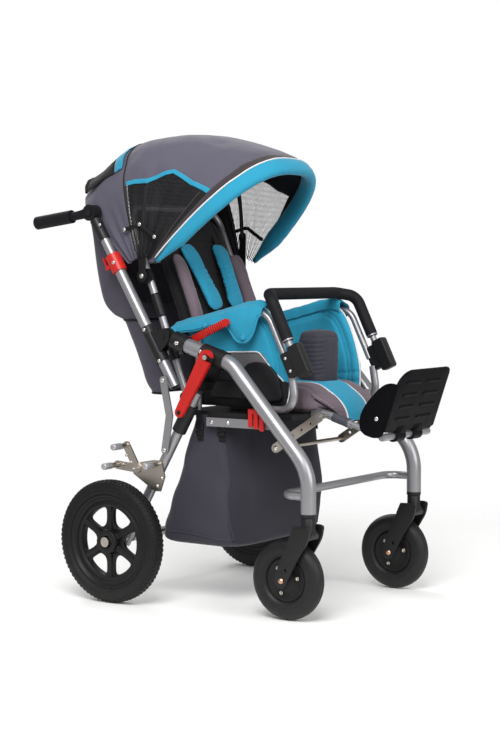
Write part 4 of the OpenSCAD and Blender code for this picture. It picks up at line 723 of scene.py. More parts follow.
# rear drape: upper cover from the rear bow with wings brought forward, lower cover tucked up behind it
drape = {"half": 202, "fold": 7, "turn": 34, "waves": 3, "topStart": 15, "thick": 2.0,
         "upper": [(-172, 1000), (-158, 900), (-142, 790), (-126, 728), (-98, 700), (-62, 684)],
         "upperWing": [(0, 92), (0.4, 104), (0.6, 112), (0.8, 104), (1, 84)],
         "lower": [(-84, 722), (-58, 676), (-24, 610), (4, 540), (26, 506)], "lowerWing": [(0, 74), (0.5, 88), (1, 60)]}


def roundTheBack(share, wing):  # flat across the back, a rounded corner, then forward along the side
    r, half = drape["turn"], drape["half"]
    flat, bend = half - r, r * math.pi / 2
    u = abs(share) * (flat + bend + wing - r)
    side = math.copysign(1, share)
    if u <= flat:
        return side * u, 0.0
    if u <= flat + bend:
        a = (u - flat) / r
        return side * (flat + r * math.sin(a)), r * (1 - math.cos(a))
    return side * half, r + u - flat - bend


def drapeRows(knots, wings, rows, cols, hangFrom, foldShare):
    line = throughPoints([(x, z, 0) for x, z in knots], 16)
    table = []
    for i in range(rows):
        s = i / (rows - 1)
        p = alongLine(line, s)[0]
        row = []
        for j in range(cols):
            v = -1 + 2 * j / (cols - 1)
            rippled = drape["fold"] * foldShare(s) * math.cos(v * math.pi * drape["waves"]
                                                              + 0.6 * math.sin(5 * s)) * (1 - v * v)
            rippled += 2.6 * noise.noise((v * 3.1, s * 5.2, 1.7)) + 1.4 * noise.noise((v * 9, s * 11, 4.2))
            y, ahead = roundTheBack(v, between(wings, s))
            out = math.copysign(min(abs(rippled), 3.0), rippled) * min(ahead / 30, 1)
            hang = at(p.x - rippled * (1 - min(ahead / 30, 1)) + ahead, y + math.copysign(out, y), p.y)
            if hangFrom:
                top = bowPoint(hood["rearTurn"], mix(drape["topStart"], 180 - drape["topStart"], (v + 1) / 2), 1.0)
                hang = hang.lerp(top, (1 - s) ** 4)
            row.append(hang)
        table.append(row)
    return table


def makeDrape():
    inside = at(60, 0, 760)
    # both covers take the hood's grey cloth with painted shade in its colour
    upper = drapeRows(drape["upper"], drape["upperWing"], 54, 104, True,
                      lambda s: math.sin(math.pi / 2 * s) * (1 - 0.5 * s))
    cover = skin("rearDrape", upper, "drapeGrey", inside=inside)
    clothSheet(cover, drape["thick"] * mm)
    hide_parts("rear_drape")
    place(cover, "backrest", "grey_cloth")
    lower = drapeRows(drape["lower"], drape["lowerWing"], 40, 88, False, lambda s: 0.6 * s)
    under = skin("rearCoverLow", lower, "drapeGrey", inside=inside)
    clothSheet(under, drape["thick"] * mm)
    place(under, "backrest", "grey_cloth")
    for name, row in (("drapeBinding", upper[-1]), ("lowBinding", lower[-1])):
        edging(name, row, "bindingBlack", 3.0, 10, "backrest", "grey_cloth")
    for side in (0, -1):
        edge = sweep("drapeEdge_" + ("right" if side == 0 else "left"), [row[side] for row in upper[6:]],
                     "bindingBlack", 2.2 * mm, around=8)
        place(edge, "backrest", "grey_cloth")


makeDrape()
print("drape done")


# padded pieces: a crowned form, stuffed by a short cloth run, then sewn
def spots(obj):
    co = np.empty(len(obj.data.vertices) * 3, np.float32)
    obj.data.vertices.foreach_get("co", co)
    return co.reshape(-1, 3)


def setSpots(obj, co):
    obj.data.vertices.foreach_set("co", np.ascontiguousarray(co, np.float32).ravel())
    obj.data.update()


def normalsOf(obj):
    out = np.empty(len(obj.data.vertices) * 3, np.float32)
    obj.data.vertices.foreach_get("normal", out)
    return out.reshape(-1, 3)


def stuff(obj, cap, voxel=0.005, pressure=4.0, frames=20):
    mats = list(obj.data.materials)
    shell = obj.modifiers.new("voxels", "REMESH")
    shell.mode = "VOXEL"
    shell.voxel_size = voxel
    applied(obj)
    start = spots(obj)
    filling = obj.modifiers.new("stuffing", "CLOTH")
    filling.settings.quality = 4
    filling.settings.use_pressure = True
    filling.settings.uniform_pressure_force = pressure
    filling.settings.effector_weights.gravity = 0
    filling.point_cache.frame_start = 1
    filling.point_cache.frame_end = frames
    for step in range(1, frames + 1):
        scene.frame_set(step)
    graph = bpy.context.evaluated_depsgraph_get()
    blown = obj.evaluated_get(graph)
    end = np.empty(len(start) * 3, np.float32)
    blown.data.vertices.foreach_get("co", end)
    obj.modifiers.clear()
    scene.frame_set(1)
    move = end.reshape(-1, 3) - start
    length = np.maximum(np.linalg.norm(move, axis=1, keepdims=True), 1e-9)
    setSpots(obj, start + move / length * cap * np.tanh(length / cap))
    relax = obj.modifiers.new("relax", "SMOOTH")
    relax.factor = 0.5
    relax.iterations = 3
    applied(obj)
    divide(obj, 1)
    obj.data.materials.clear()
    for mat in mats:
        obj.data.materials.append(mat)
    return obj


# top and bottom skins drawn from the middle of an outline to its rim
def pillow(name, outline, toWorld, above, under, finish, rings=14, fullness=2.4):
    count = len(outline)
    cx = sum(p[0] for p in outline) / count
    cy = sum(p[1] for p in outline) / count
    rows = []
    for k in range(2 * rings + 1):
        f = math.sin(math.pi / 2 * (k / rings if k <= rings else 2 - k / rings))
        f = max(f, 0.02)
        crown = max(1 - f ** fullness, 0) ** (1 / fullness)
        h = above * crown if k <= rings else -under * crown
        rows.append([toWorld(cx + (x - cx) * f, cy + (y - cy) * f, h) for x, y in outline])
    return solid(name, rows, finish)


def boxOutline(x0, x1, y0, y1, corner, draw=0.0, steps=7):  # sides pull in between rounded corners
    out = []
    centres = [(x1 - corner, y1 - corner, 0), (x0 + corner, y1 - corner, 90), (x0 + corner, y0 + corner, 180),
               (x1 - corner, y0 + corner, 270)]
    for n, (cx, cy, turn) in enumerate(centres):
        arc = [(cx + corner * math.cos(math.radians(turn + 90 * k / steps)),
                cy + corner * math.sin(math.radians(turn + 90 * k / steps)))
               for k in range(steps + 1)]
        out += arc
        ncx, ncy, nturn = centres[(n + 1) % 4]
        goal = (ncx + corner * math.cos(math.radians(nturn)), ncy + corner * math.sin(math.radians(nturn)))
        inward = (-math.cos(math.radians(turn + 90)), -math.sin(math.radians(turn + 90)))
        for k in range(1, 10):
            pull = draw * math.sin(math.pi * k / 10)
            out.append((mix(arc[-1][0], goal[0], k / 10) + inward[0] * pull, mix(arc[-1][1], goal[1], k / 10)
                        + inward[1] * pull))
    return out


# press a sewn line into the surface; flat gives plane places, in millimetres
def sew(obj, line, flat, depth, width, facing=None):
    co, normal = spots(obj), normalsOf(obj)
    p = np.array([flat(c) for c in co])
    near = np.full(len(p), 1e9)
    for (x0, y0), (x1, y1) in zip(line, line[1:]):
        d = np.array([x1 - x0, y1 - y0])
        t = np.clip(((p - (x0, y0)) @ d) / max(d @ d, 1e-9), 0, 1)
        near = np.minimum(near, np.linalg.norm(p - ((x0, y0) + t[:, None] * d), axis=1))
    dent = depth * mm * np.exp(-(near / width) ** 2)
    if facing is not None:
        dent *= np.clip((normal @ np.array(facing)) * 2, 0, 1)
    setSpots(obj, co - normal * dent[:, None])


def creased(obj, size, depth, seed):  # small uneven creases in the cloth
    co, normal = spots(obj), normalsOf(obj)
    move = np.array([noise.noise(Vector(c) * size + Vector((seed, 0, 0)))
                     + 0.5 * noise.noise(Vector(c) * size * 2.3 + Vector((0, seed, 0)))
                     for c in co])
    setSpots(obj, co + normal * (move * depth * mm)[:, None])


def surfaceOf(obj):
    return BVHTree.FromObject(obj, bpy.context.evaluated_depsgraph_get())


def onto(obj, points, lift):  # points laid on the nearest part of a surface
    tree = surfaceOf(obj)
    out = []
    for p in points:
        spot, normal, _, _ = tree.find_nearest(p)
        out.append(spot + normal * lift)
    return out


def smoothed(points, rounds=4):
    for _ in range(rounds):
        points = [points[0]] + [(a + b * 2 + c) / 4 for a, b, c in zip(points, points[1:], points[2:])] + [points[-1]]
    return points


# seat cushion with its blue tongue
cushion = {"x": (181, 487), "half": 141, "base": 471, "thick": 68, "corner": 46, "draw": 5, "cap": 0.006, "drop": 12,
           "tongue": [(0, 64), (0.4, 58), (0.6, 54), (0.8, 50), (1, 44)],
           "apron": [(462, 509), (484, 489), (500, 465), (509, 445)],
           "apronHalf": [(-6, 130), (10, 126), (26, 112), (40, 94), (54, 76), (66, 56), (75, 36), (80, 12)]}


def makeCushion():
    low, high = cushion["x"]

    def seatPlace(x, y, h):
        nose = ramp(x, 425, 490)
        z = cushion["base"] + (h + 10 if h < 0 else 10 + h) + (9 * nose if h < 0 else -cushion["drop"] * nose)
        return at(x, y, z)

    pad = pillow("seatCushion", boxOutline(low, high, -cushion["half"], cushion["half"], cushion["corner"],
                                           cushion["draw"]),
                 seatPlace, cushion["thick"] - 14, 9, "mauveGrey", fullness=3.6)
    stuff(pad, cushion["cap"])

    def plan(c):
        return (c[0] - axleX) / mm, c[1] / mm

    for side in (-1, 1):
        sew(pad, [(340, side * 68), (400, side * 60), (470, side * 54)], plan, 4.0, 5, (0, 0, 1))
        sew(pad, [(200, side * 96), (380, side * 100), (470, side * 110)], plan, 4.0, 6, (0, 0, 1))
    sew(pad, [(262, -96), (262, 96)], plan, 3.5, 6, (0, 0, 1))
    creased(pad, 26, 1.0, 3.0)
    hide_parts("seat_cushion")
    place(pad, "front_frame", "mauve_cloth")
    makeApron(pad)


def apronPath(s):  # place and outward direction, down the hanging front
    line = throughPoints([(x, 0, z) for x, z in cushion["apron"]], 10)
    spot, k = alongLine(line, min(max(s / 80, 0), 1))
    run = (line[k + 1] - line[k]).normalized()
    return spot + run * min(s, 0), Vector((-run.z, 0, run.x))


def makeApron(pad):  # the front of the cushion hangs down between the legrest tubes
    edge = [(s, -half) for s, half in cushion["apronHalf"]] + [(s, half) for s, half in reversed(cushion["apronHalf"])]
    edge = [(p.x, p.y) for p in throughPoints([(a, b, 0) for a, b in edge] + [(*edge[0], 0)], 5)[:-1]]

    def hang(s, y, h):
        spot, out = apronPath(s)
        spot = spot + out * h
        return at(spot.x - abs(y) * 0.03, y, spot.z)

    apron = pillow("cushionApron", edge, hang, 9, 7, "mauveGrey", rings=12, fullness=3.2)
    stuff(apron, 0.003, voxel=0.0045)
    creased(apron, 30, 0.8, 4.0)
    place(apron, "front_frame", "mauve_cloth")
    rim = onto(apron, [hang(s + 2, y * 1.02, 0) for s, y in edge[4:-9]], 0.0006)
    edging("apronEdge", smoothed(rim), "bindingBlack", 1.6, 8, "front_frame", "grey_cloth")
    trees = [surfaceOf(obj) for obj in (pad, apron)]

    def onSeat(spot, inward, lift):
        hits = [tree.ray_cast(spot - inward * 0.2, inward) for tree in trees]
        hits = [h for h in hits if h[0] is not None]
        return min(hits, key=lambda h: h[3])[0] - inward * lift * mm if hits else None

    rows = []
    for s in spread(0, 1, 46):
        half = between(cushion["tongue"], s)
        if s < 0.55:
            x, inward, depth = mix(340, 448, s / 0.55), Vector((0, 0, -1)), 520
        else:
            q = (s - 0.55) / 0.45
            spot, out = apronPath(mix(4, 77, q))
            turn = ramp(q, 0, 0.45)
            x, depth = mix(448, spot.x, ramp(q, 0, 0.35)), mix(520, spot.z, ramp(q, 0, 0.35))
            inward = (Vector((0, 0, -1)) * (1 - turn) - out * turn).normalized()
        row = []
        for v in spread(-1, 1, 20):
            lift = 1.2 + 3.4 * (1 - v * v) * ramp(s, 0, 0.1)
            found = onSeat(at(x, v * half, depth), inward, lift)
            row.append(found if found else rows[-1][len(row)] + Vector((0.0012, 0, -0.0026)))
        rows.append(row)
    for _ in range(3):
        rows = [rows[0]] + [[(a + b * 2 + c) / 4 for a, b, c in zip(*three)]
                            for three in zip(rows, rows[1:], rows[2:])] + [rows[-1]]
    tongue = skin("cushionTongue", rows, "turquoise", inside=at(400, 0, 400))
    clothSheet(tongue, 1.6 * mm)
    divide(tongue, 1)
    place(tongue, "front_frame", "blue_cloth")
    for name, column in (("right", 0), ("left", -1)):
        pipe = sweep("tonguePiping_" + name, smoothed([row[column] for row in rows]), "pipingWhite", 2.0 * mm,
                     around=10)
        place(pipe, "front_frame", "grey_cloth")


# side panels: quilted, with piping and an outer face that is dark below its own hem
panel = {"y": (152, 174), "cap": 0.004,
         "hemLine": [(110, 604), (259, 612), (343, 615), (392, 560), (412, 546), (430, 540)],
         "outline": [(124, 476), (124, 560), (122, 640), (126, 672), (160, 684), (211, 698), (304, 721), (338, 725),
                     (362, 714), (384, 686), (404, 640), (418, 590), (424, 545), (420, 505), (404, 480), (360, 475),
                     (240, 474)]}


def insetLine(points, share, centre):
    return [(mix(x, centre[0], share), mix(z, centre[1], share)) for x, z in points]


def makePanels():
    inner, outer = panel["y"]
    mid, half = (inner + outer) / 2, (outer - inner) / 2
    curve = [(p.x, p.y)
             for p in throughPoints([(x, z, 0) for x, z in panel["outline"]] + [(*panel["outline"][0], 0)], 6)[:-1]]
    for name, side in sides.items():
        pad = pillow("sidePanel_" + name, curve, lambda x, z, h: at(x, side * (mid + h), z), half, half,
                     ["turquoise", "backBlack"], fullness=3.2, rings=12)
        stuff(pad, panel["cap"], voxel=0.0045)

        def upright(c):
            return (c[0] - axleX) / mm, c[2] / mm

        centre = (270, 590)
        quilt = insetLine(panel["outline"][3:15], 0.17, centre)
        sew(pad, quilt, upright, 3.2, 4.5)
        sew(pad, insetLine(panel["outline"][3:15], 0.23, centre), upright, 3.2, 4.5)
        for z in (500, 524, 548):
            sew(pad, [(352, z), (418, z + 6)], upright, 1.8, 5, (0, -side, 0))
        creased(pad, 24, 0.9, 5.0 + side)
        marks = []
        for face in pad.data.polygons:
            c = face.center
            x, z = upright(c)
            low = between(panel["hemLine"], x)
            marks.append(1 if face.normal.y * side > 0.1 and z < low else 0)
        pad.data.polygons.foreach_set("material_index", marks)
        if side < 0:
            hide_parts("side_panels")
        place(pad, "front_frame", "blue_cloth")
        rim = onto(pad, [at(mix(x, 270, -0.03), side * (inner + 5), mix(z, 590, -0.03)) for x, z in curve[18:88]],
                   0.0008)
        edging("panelPiping_" + name, smoothed(rim), "pipingWhite", 1.9, 10, "front_frame", "grey_cloth")
        hemLine = [at(x, side * (outer + 6), between(panel["hemLine"], x)) for x in spread(140, 412, 60)]
        edging("panelHem_" + name, smoothed(onto(pad, hemLine, 0.0006)), "pipingWhite", 1.6, 8, "front_frame",
               "grey_cloth")


# blue flap over each arm tube, held by press studs
flap = {"top": [(92, 676), (130, 686), (172, 694), (211, 704), (304, 728), (338, 733), (358, 729), (366, 724)],
        "tube": [(92, 662), (172, 672), (217, 683), (340, 708), (366, 714)], "x": (94, 364),
        "hang": [(94, 4), (150, 6), (225, 6), (247, 6), (260, 11), (270, 22), (280, 37), (290, 51), (301, 60),
                 (314, 63), (327, 60), (337, 52),
                 (344, 39), (349, 24), (354, 11), (366, 4)], "studs": [(112, 0.78), (204, 0.78), (314, 0.94)]}


def flapRow(x, side):
    top, tube, hang = between(flap["top"], x), between(flap["tube"], x), between(flap["hang"], x)
    line = [(149, top - 24), (149.5, top - 10), (153, top + 1), (163, top + 5), (174, top + 3),
            (184, max(tube + 11, top - 4)),
            (193, max(tube + 8, top - 9)), (199, tube + 3), (201.5, tube - 4)]
    line += [(202.5 + 2.0 * math.sin(k), tube - 4 - hang * k / 4) for k in range(1, 5)]
    return throughPoints([at(x + 2.2 * noise.noise((x * 0.05, z * 0.05, 2)), side * y, z) for y, z in line], 4)


def makeFlaps():
    for name, side in sides.items():
        rows = [flapRow(x, side) for x in spread(*flap["x"], 130)]
        rows = [[p + Vector((0, side * mm * 1.6 * noise.noise((p.x * 38, p.z * 30, side)),
                             mm * 1.5 * noise.noise((p.x * 45, p.y * 60, 7))))
                 for p in row] for row in rows]
        piece = skin("armFlap_" + name, rows, "turquoise", inside=at(230, side * 170, 640))
        clothSheet(piece, 4.0 * mm)
        divide(piece, 1)
        place(piece, "front_frame", "blue_cloth")
        border = [row[-1] for row in rows]
        edging("flapHem_" + name, smoothed(border, 2), "turquoise", 2.6, 10, "front_frame", "blue_cloth")
        studs = []
        for x, share in flap["studs"]:
            row = flapRow(x, side)
            spot = row[int(share * (len(row) - 1))]
            out = Vector((0, side, 0.25)).normalized()
            profile = [(0.1, 4.6), (5.6, 4.4), (6.4, 3.2), (6.6, 1.6), (6.4, 0)]
            ring = []
            for r, h in profile:
                u = out.orthogonal().normalized()
                w = out.cross(u)
                ring.append([spot + out * (h * mm + 0.0008)
                             + (u * math.cos(k * math.pi / 10) + w * math.sin(k * math.pi / 10)) * r * mm
                             for k in range(20)])
            studs.append(solid("stud", ring, "turquoise"))
        place(joined("flapStuds_" + name, studs), "front_frame", "blue_cloth")


# pommel
pommel = {"x": 397, "half": (37, 51), "base": 534, "high": 131, "cap": 0.004}


def makePommel():
    rows = []
    for s in spread(0, 1, 30):
        above = max((s - 0.76) / 0.24, 0)
        f = max(mix(0.93, 1, math.sin(math.pi * min(s * 0.75 + 0.1, 1))) * (1 - above ** 3.2) ** 0.34, 0.05)
        rx, ry = pommel["half"][0] * f, pommel["half"][1] * f
        z = pommel["base"] + pommel["high"] * s
        rows.append([at(pommel["x"] + rx * c, ry * w, z) for c, w in ovalRing(48, 0.5)])
    block = solid("pommelPad", rows, "pommelGrey")
    stuff(block, pommel["cap"], voxel=0.0045)

    def sideOn(c):
        return c[1] / mm, c[2] / mm

    for n, z in enumerate((556, 566, 577, 587, 598, 608, 619, 630)):  # puckers along the side seams
        sew(block, [(-58, z), (-44, z + 1.5), (-34 + 6 * (n % 2), z + 3)], sideOn, 2.0, 2.2)
        sew(block, [(58, z), (46, z + 1.5), (36 - 5 * (n % 2), z + 3)], sideOn, 1.6, 2.2)
    sew(block, [(-54, 645), (54, 645)], sideOn, 1.4, 2.6)
    creased(block, 40, 0.7, 9.0)
    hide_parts("pommel")
    place(block, "pommel", "mauve_cloth")


# backrest pad, side bolsters and shoulder pads, along the leaning back
back = {"hinge": (140, 500), "lean": 22, "up": (50, 474), "half": 142, "out": (-4, 40), "corner": 60, "cap": 0.005,
        "bolster": {"up": (150, 356), "y": (98, 146), "out": 26, "cap": 0.004},
        "strap": {"low": (196, 42), "high": (384, 72), "half": 32, "thick": 9, "out": 44}}


def backPlace(up, y, out):
    a = math.radians(back["lean"])
    return at(back["hinge"][0] - math.sin(a) * up + math.cos(a) * out, y, back["hinge"][1] + math.cos(a) * up
              + math.sin(a) * out)


def backFlat(c):
    a = math.radians(back["lean"])
    x, z = (c[0] - axleX) / mm - back["hinge"][0], c[2] / mm - back["hinge"][1]
    return -math.sin(a) * x + math.cos(a) * z, c[1] / mm


def makeBackrest():
    low, high = back["up"]
    under, above = back["out"]
    mid = (under + above) / 2
    pad = pillow("backrestPad", boxOutline(low, high, -back["half"], back["half"], back["corner"], 4),
                 lambda u, y, h: backPlace(u, y, mid + h), (above - under) / 2, (above - under) / 2, "backBlack",
                 fullness=3.4)
    stuff(pad, back["cap"])
    front = tuple((backPlace(0, 0, 1) - backPlace(0, 0, 0)).normalized())
    for side in (-1, 1):
        sew(pad, [(80, side * 92), (300, side * 90), (450, side * 96)], backFlat, 4, 5, front)
    for up in (190, 300, 392):
        sew(pad, [(up, -90), (up, 90)], backFlat, 3, 5, front)
    creased(pad, 22, 1.0, 11.0)
    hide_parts("backrest_pad")
    place(pad, "backrest", "mauve_cloth")
    b = back["bolster"]
    for name, side in sides.items():
        shape = boxOutline(b["up"][0], b["up"][1], b["y"][0], b["y"][1], 22, 2)
        roll = pillow("sideBolster_" + name, shape, lambda u, y,
                      h: backPlace(u, side * y, above + 8 + h + 6 * ramp(y, 100, 140)),
                      b["out"] - 8, 10, "mauveGrey", fullness=2.2)
        stuff(roll, b["cap"])
        sew(roll, [(b["up"][0] + 8, side * 122), (b["up"][1] - 8, side * 122)], backFlat, 3, 4, front)
        creased(roll, 30, 0.9, 13.0 + side)
        place(roll, "backrest", "mauve_cloth")
        edge = [backPlace(u, side * 147, above + 7) for u in spread(b["up"][0] + 20, b["up"][1] - 20, 30)]
        edging("bolsterPiping_" + name, smoothed(onto(roll, edge, 0.0005)), "bindingBlack", 2.2, 10, "backrest",
               "grey_cloth")


def padPoint(u0, y0, run, across, p, q):
    return u0 + run[0] * p + across[0] * q, y0 + run[1] * p + across[1] * q


def makeShoulderPads():
    s = back["strap"]
    for name, side in sides.items():
        (u0, y0), (u1, y1) = s["low"], s["high"]
        length = math.hypot(u1 - u0, y1 - y0)
        run, across = ((u1 - u0) / length, (y1 - y0) / length), (-(y1 - y0) / length, (u1 - u0) / length)
        shape = boxOutline(0, length, -s["half"], s["half"], 24, 1.0)

        def padPlace(p, q, h):
            bow = 5 * math.sin(math.pi * p / length) + 16 * (1 - p / length) ** 1.5
            up, y = padPoint(u0, y0, run, across, p, q)
            return backPlace(up, side * y, s["out"] + bow + 5 + h)

        pad = pillow("shoulderPad_" + name, shape, padPlace, s["thick"], 4, "turquoise", fullness=2.6)
        stuff(pad, 0.003, voxel=0.004)
        for k, (p, tilt) in enumerate(((58, 6), (70, -4), (84, 5), (99, -6), (112, 4))):
            a, end = padPoint(u0, y0, run, across, p, -31), padPoint(u0, y0, run, across, p + tilt, 2 + 6 * (k % 2))
            sew(pad, [(a[0], side * a[1]), (end[0], side * end[1])], backFlat, 1.8, 2.4)
        creased(pad, 50, 0.6, 17.0 + side)
        if side < 0:
            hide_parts("shoulder_pads")
        place(pad, "backrest", "blue_cloth")
        top = padPoint(u0, y0, run, across, length, 0)
        strapUp = [backPlace(top[0] - 14, side * top[1], s["out"] + 6),
                   backPlace(top[0] + 16, side * (top[1] + 4), s["out"] + 1),
                   backPlace(top[0] + 26, side * (top[1] + 5), s["out"] - 10),
                   backPlace(top[0] + 28, side * (top[1] + 5), 6)]
        strapLow = [backPlace(u0 + 14, side * y0, s["out"] + 6), backPlace(u0 - 40, side * (y0 + 8), s["out"] + 3),
                    backPlace(110, side * 62, s["out"] + 2), backPlace(66, side * 84, s["out"] + 1),
                    backPlace(52, side * 90, s["out"] - 14)]
        for label, line in (("Top", strapUp), ("Low", strapLow)):
            web = sweep("harnessWeb" + label + "_" + name, throughPoints(line, 10), "webbing", 12.5 * mm, 0.9 * mm,
                        around=12, up=Vector(backPlace(0, 0, 1) - backPlace(0, 0, 0)), square=0.35)
            place(web, "backrest", "grey_cloth")


makeCushion()
makePanels()
makeFlaps()
makePommel()
makeBackrest()
makeShoulderPads()
print("seat done")


# storage bag: a sagging lofted shell, open at the top under the seat
bag = {"rim": (166, 268, 206), "belly": (96, 292, 212), "low": (44, 294, 206), "floor": 132, "top": 462, "rings": 32,
       "straps": [192, 254]}


def bagSection(z):
    s = (z - bag["floor"]) / (bag["top"] - bag["floor"])
    lowPart = min(s / 0.42, 1)
    highPart = max((s - 0.42) / 0.58, 0)
    a, b, c = bag["low"], bag["belly"], bag["rim"]
    bulge = math.sin(math.pi * s)
    rear = mix(mix(a[0], b[0], lowPart), c[0], highPart ** 0.9) - 5 * bulge
    front = mix(mix(a[1], b[1], lowPart), c[1], highPart) + 3 * bulge
    half = mix(mix(a[2], b[2], lowPart), c[2], highPart) + 4 * bulge
    return rear, front, half


def bagRow(z, shrink=0.0, count=96):
    rear, front, half = bagSection(z)
    cx, rx = (rear + front) / 2, (front - rear) / 2 - shrink
    ry = half - shrink
    row = []
    for c, w in ovalRing(count, 0.36, 0.30):
        p = at(cx + rx * c, ry * w, z)
        s = (z - bag["floor"]) / (bag["top"] - bag["floor"])
        sag = 15 * math.sin(math.pi * min(s * 1.15, 1)) * noise.noise((p.x * 9 + 3, w * 2.3 + 4, p.z * 5.5))
        slack = 4.5 * noise.noise((p.x * 26 + p.z * 14, p.y * 18, p.z * 9))
        pinch = -3.0 * math.exp(-((s - 0.1) / 0.03) ** 2)
        out = Vector((c, w * 0.9, 0)).normalized()
        row.append(p + out * mm * (min(sag + slack + pinch, 4)))
    return row


def makeBag():
    floor, top = bag["floor"], bag["top"]
    rows = []
    for f in (0.03, 0.3, 0.6, 0.85, 0.97):  # the bottom, drawn in from its middle
        base = bagRow(floor + 14, 6)
        mid = sum(base, Vector()) / len(base)
        rows.append([Vector((mix(mid.x, p.x, f), mix(mid.y, p.y, f), (floor + 2 + 11 * f ** 6) * mm
                             - 0.003 * (1 - f) * (1 + noise.noise((p.x * 9, p.y * 9, 1))))) for p in base])
    rows += [bagRow(z) for z in spread(floor + 22, top, bag["rings"])]
    shell = skin("storageBag", rows, ["bagGrey", "bagDark"], closeRow=True, inside=at(210, 0, 300))
    clothSheet(shell, 2.2 * mm)
    divide(shell, 1)
    # front panel
    shell.data.polygons.foreach_set("material_index", [1 if f.normal.x > 0.62 else 0 for f in shell.data.polygons])
    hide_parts("storage_bag")
    place(shell, "front_frame", "grey_cloth")
    tree = surfaceOf(shell)

    def outOn(x, y, z, away, lift):
        hit = tree.ray_cast(at(x, y, z) + away * 0.3, -away)[0]
        return (hit if hit else at(x, y, z)) + away * lift * mm

    for name, side in sides.items():
        away = Vector((0, side, 0))
        seam = [outOn(mix(254, 279, s) + 2 * math.sin(s * 4), 0, mix(452, 160, s), away, 0.4) for s in spread(0, 1, 50)]
        curve = [outOn(mix(66, 277, s), 0, 166 + 5 * math.sin(s * 5), away, 0.4) for s in spread(0, 1, 50)]
        for label, line in (("Seam", seam), ("LowSeam", curve)):
            edging("bag" + label + "_" + name, smoothed(line), "bagGrey", 1.9, 8, "front_frame", "grey_cloth")
        for n, x in enumerate(bag["straps"]):
            line = [at(x, side * 215, 466),
                    at(x + 1, side * 216, 448)] + [outOn(x + 3 * s, 0, mix(440, 398, s), away, 2.2)
                                                   for s in spread(0, 1, 10)]
            web = sweep("bagStrap" + "ab"[n] + "_" + name, smoothed(line, 3), "webbing", 9 * mm, 0.9 * mm, around=12,
                        up=away, square=0.35)
            place(web, "front_frame", "grey_cloth")
            buckle = []
            for z, w, h, t in ((434, 12, 11, 3.2), (417, 11, 5, 3.0), (424, 7, 4, 2.6)):
                c = outOn(x + 1, 0, z, away, 4.0)
                ring = boxOutline(-w, w, -h, h, min(w, h) * 0.45)
                body = pillow("buckle", ring, lambda u, v, d: c + Vector((u * mm, side * d * mm, v * mm)), t, t,
                              "blackPlastic", rings=6, fullness=5)
                buckle.append(body)
            place(joined("bagBuckle" + "ab"[n] + "_" + name, buckle), "front_frame", "black_plastic")


makeBag()
print("bag done")


# small repeated things are laid out with geometry nodes and kept as plain meshes
def inputNamed(tree, label):
    return next(item.identifier for item in tree.interface.items_tree if item.item_type == "SOCKET"
                and item.in_out == "INPUT" and item.name == label)


def newLayout(name, extra):
    tree = bpy.data.node_groups.new(name, "GeometryNodeTree")
    tree.interface.new_socket("Geometry", in_out="INPUT", socket_type="NodeSocketGeometry")
    tree.interface.new_socket("Part", in_out="INPUT", socket_type="NodeSocketObject")
    tree.interface.new_socket("Finish", in_out="INPUT", socket_type="NodeSocketMaterial")
    for label, kind, value in extra:
        tree.interface.new_socket(label, in_out="INPUT", socket_type=kind).default_value = value
    tree.interface.new_socket("Geometry", in_out="OUTPUT", socket_type="NodeSocketGeometry")
    return tree


def chain(tree, kind, x, y=0, **settings):
    node = tree.nodes.new(kind)
    node.location = (x, y)
    for key, value in settings.items():
        setattr(node, key, value)
    return node


# copies stood on loose points, turned by two stored directions
def standLayout():
    tree = newLayout("standOnPoints", [("Size", "NodeSocketFloat", 1.0), ("Turn Spread", "NodeSocketFloat", 0.0),
                                       ("Seed", "NodeSocketInt", 4)])
    start, end = chain(tree, "NodeGroupInput", -900), chain(tree, "NodeGroupOutput", 700)
    part = chain(tree, "GeometryNodeObjectInfo", -500, -260)
    out = chain(tree, "GeometryNodeInputNamedAttribute", -900, -300, data_type="FLOAT_VECTOR")
    out.inputs["Name"].default_value = "standOut"
    run = chain(tree, "GeometryNodeInputNamedAttribute", -900, -480, data_type="FLOAT_VECTOR")
    run.inputs["Name"].default_value = "standRun"
    axes = chain(tree, "FunctionNodeAxesToRotation", -650, -380, primary_axis="Z", secondary_axis="X")
    chance = chain(tree, "FunctionNodeRandomValue", -650, -620, data_type="FLOAT")
    low = chain(tree, "ShaderNodeMath", -850, -700, operation="MULTIPLY")
    low.inputs[1].default_value = -1
    about = chain(tree, "FunctionNodeAxisAngleToRotation", -450, -620)
    turn = chain(tree, "FunctionNodeRotateRotation", -300, -420, rotation_space="LOCAL")
    copy = chain(tree, "GeometryNodeInstanceOnPoints", -50)
    real = chain(tree, "GeometryNodeRealizeInstances", 200)
    paint = chain(tree, "GeometryNodeSetMaterial", 450)
    link(start.outputs["Geometry"], copy.inputs["Points"])
    link(start.outputs["Part"], part.inputs["Object"])
    link(part.outputs["Geometry"], copy.inputs["Instance"])
    link(out.outputs["Attribute"], axes.inputs["Primary Axis"])
    link(run.outputs["Attribute"], axes.inputs["Secondary Axis"])
    link(start.outputs["Turn Spread"], low.inputs[0])
    link(low.outputs[0], chance.inputs[2])
    link(start.outputs["Turn Spread"], chance.inputs[3])
    link(start.outputs["Seed"], chance.inputs["Seed"])
    link(chance.outputs[1], about.inputs["Angle"])
    link(axes.outputs["Rotation"], turn.inputs["Rotation"])
    link(about.outputs["Rotation"], turn.inputs["Rotate By"])
    link(turn.outputs["Rotation"], copy.inputs["Rotation"])
    link(start.outputs["Size"], copy.inputs["Scale"])
    link(copy.outputs["Instances"], real.inputs["Geometry"])
    link(real.outputs["Geometry"], paint.inputs["Geometry"])
    link(start.outputs["Finish"], paint.inputs["Material"])
    link(paint.outputs["Geometry"], end.inputs["Geometry"])
    return tree


standing = standLayout()


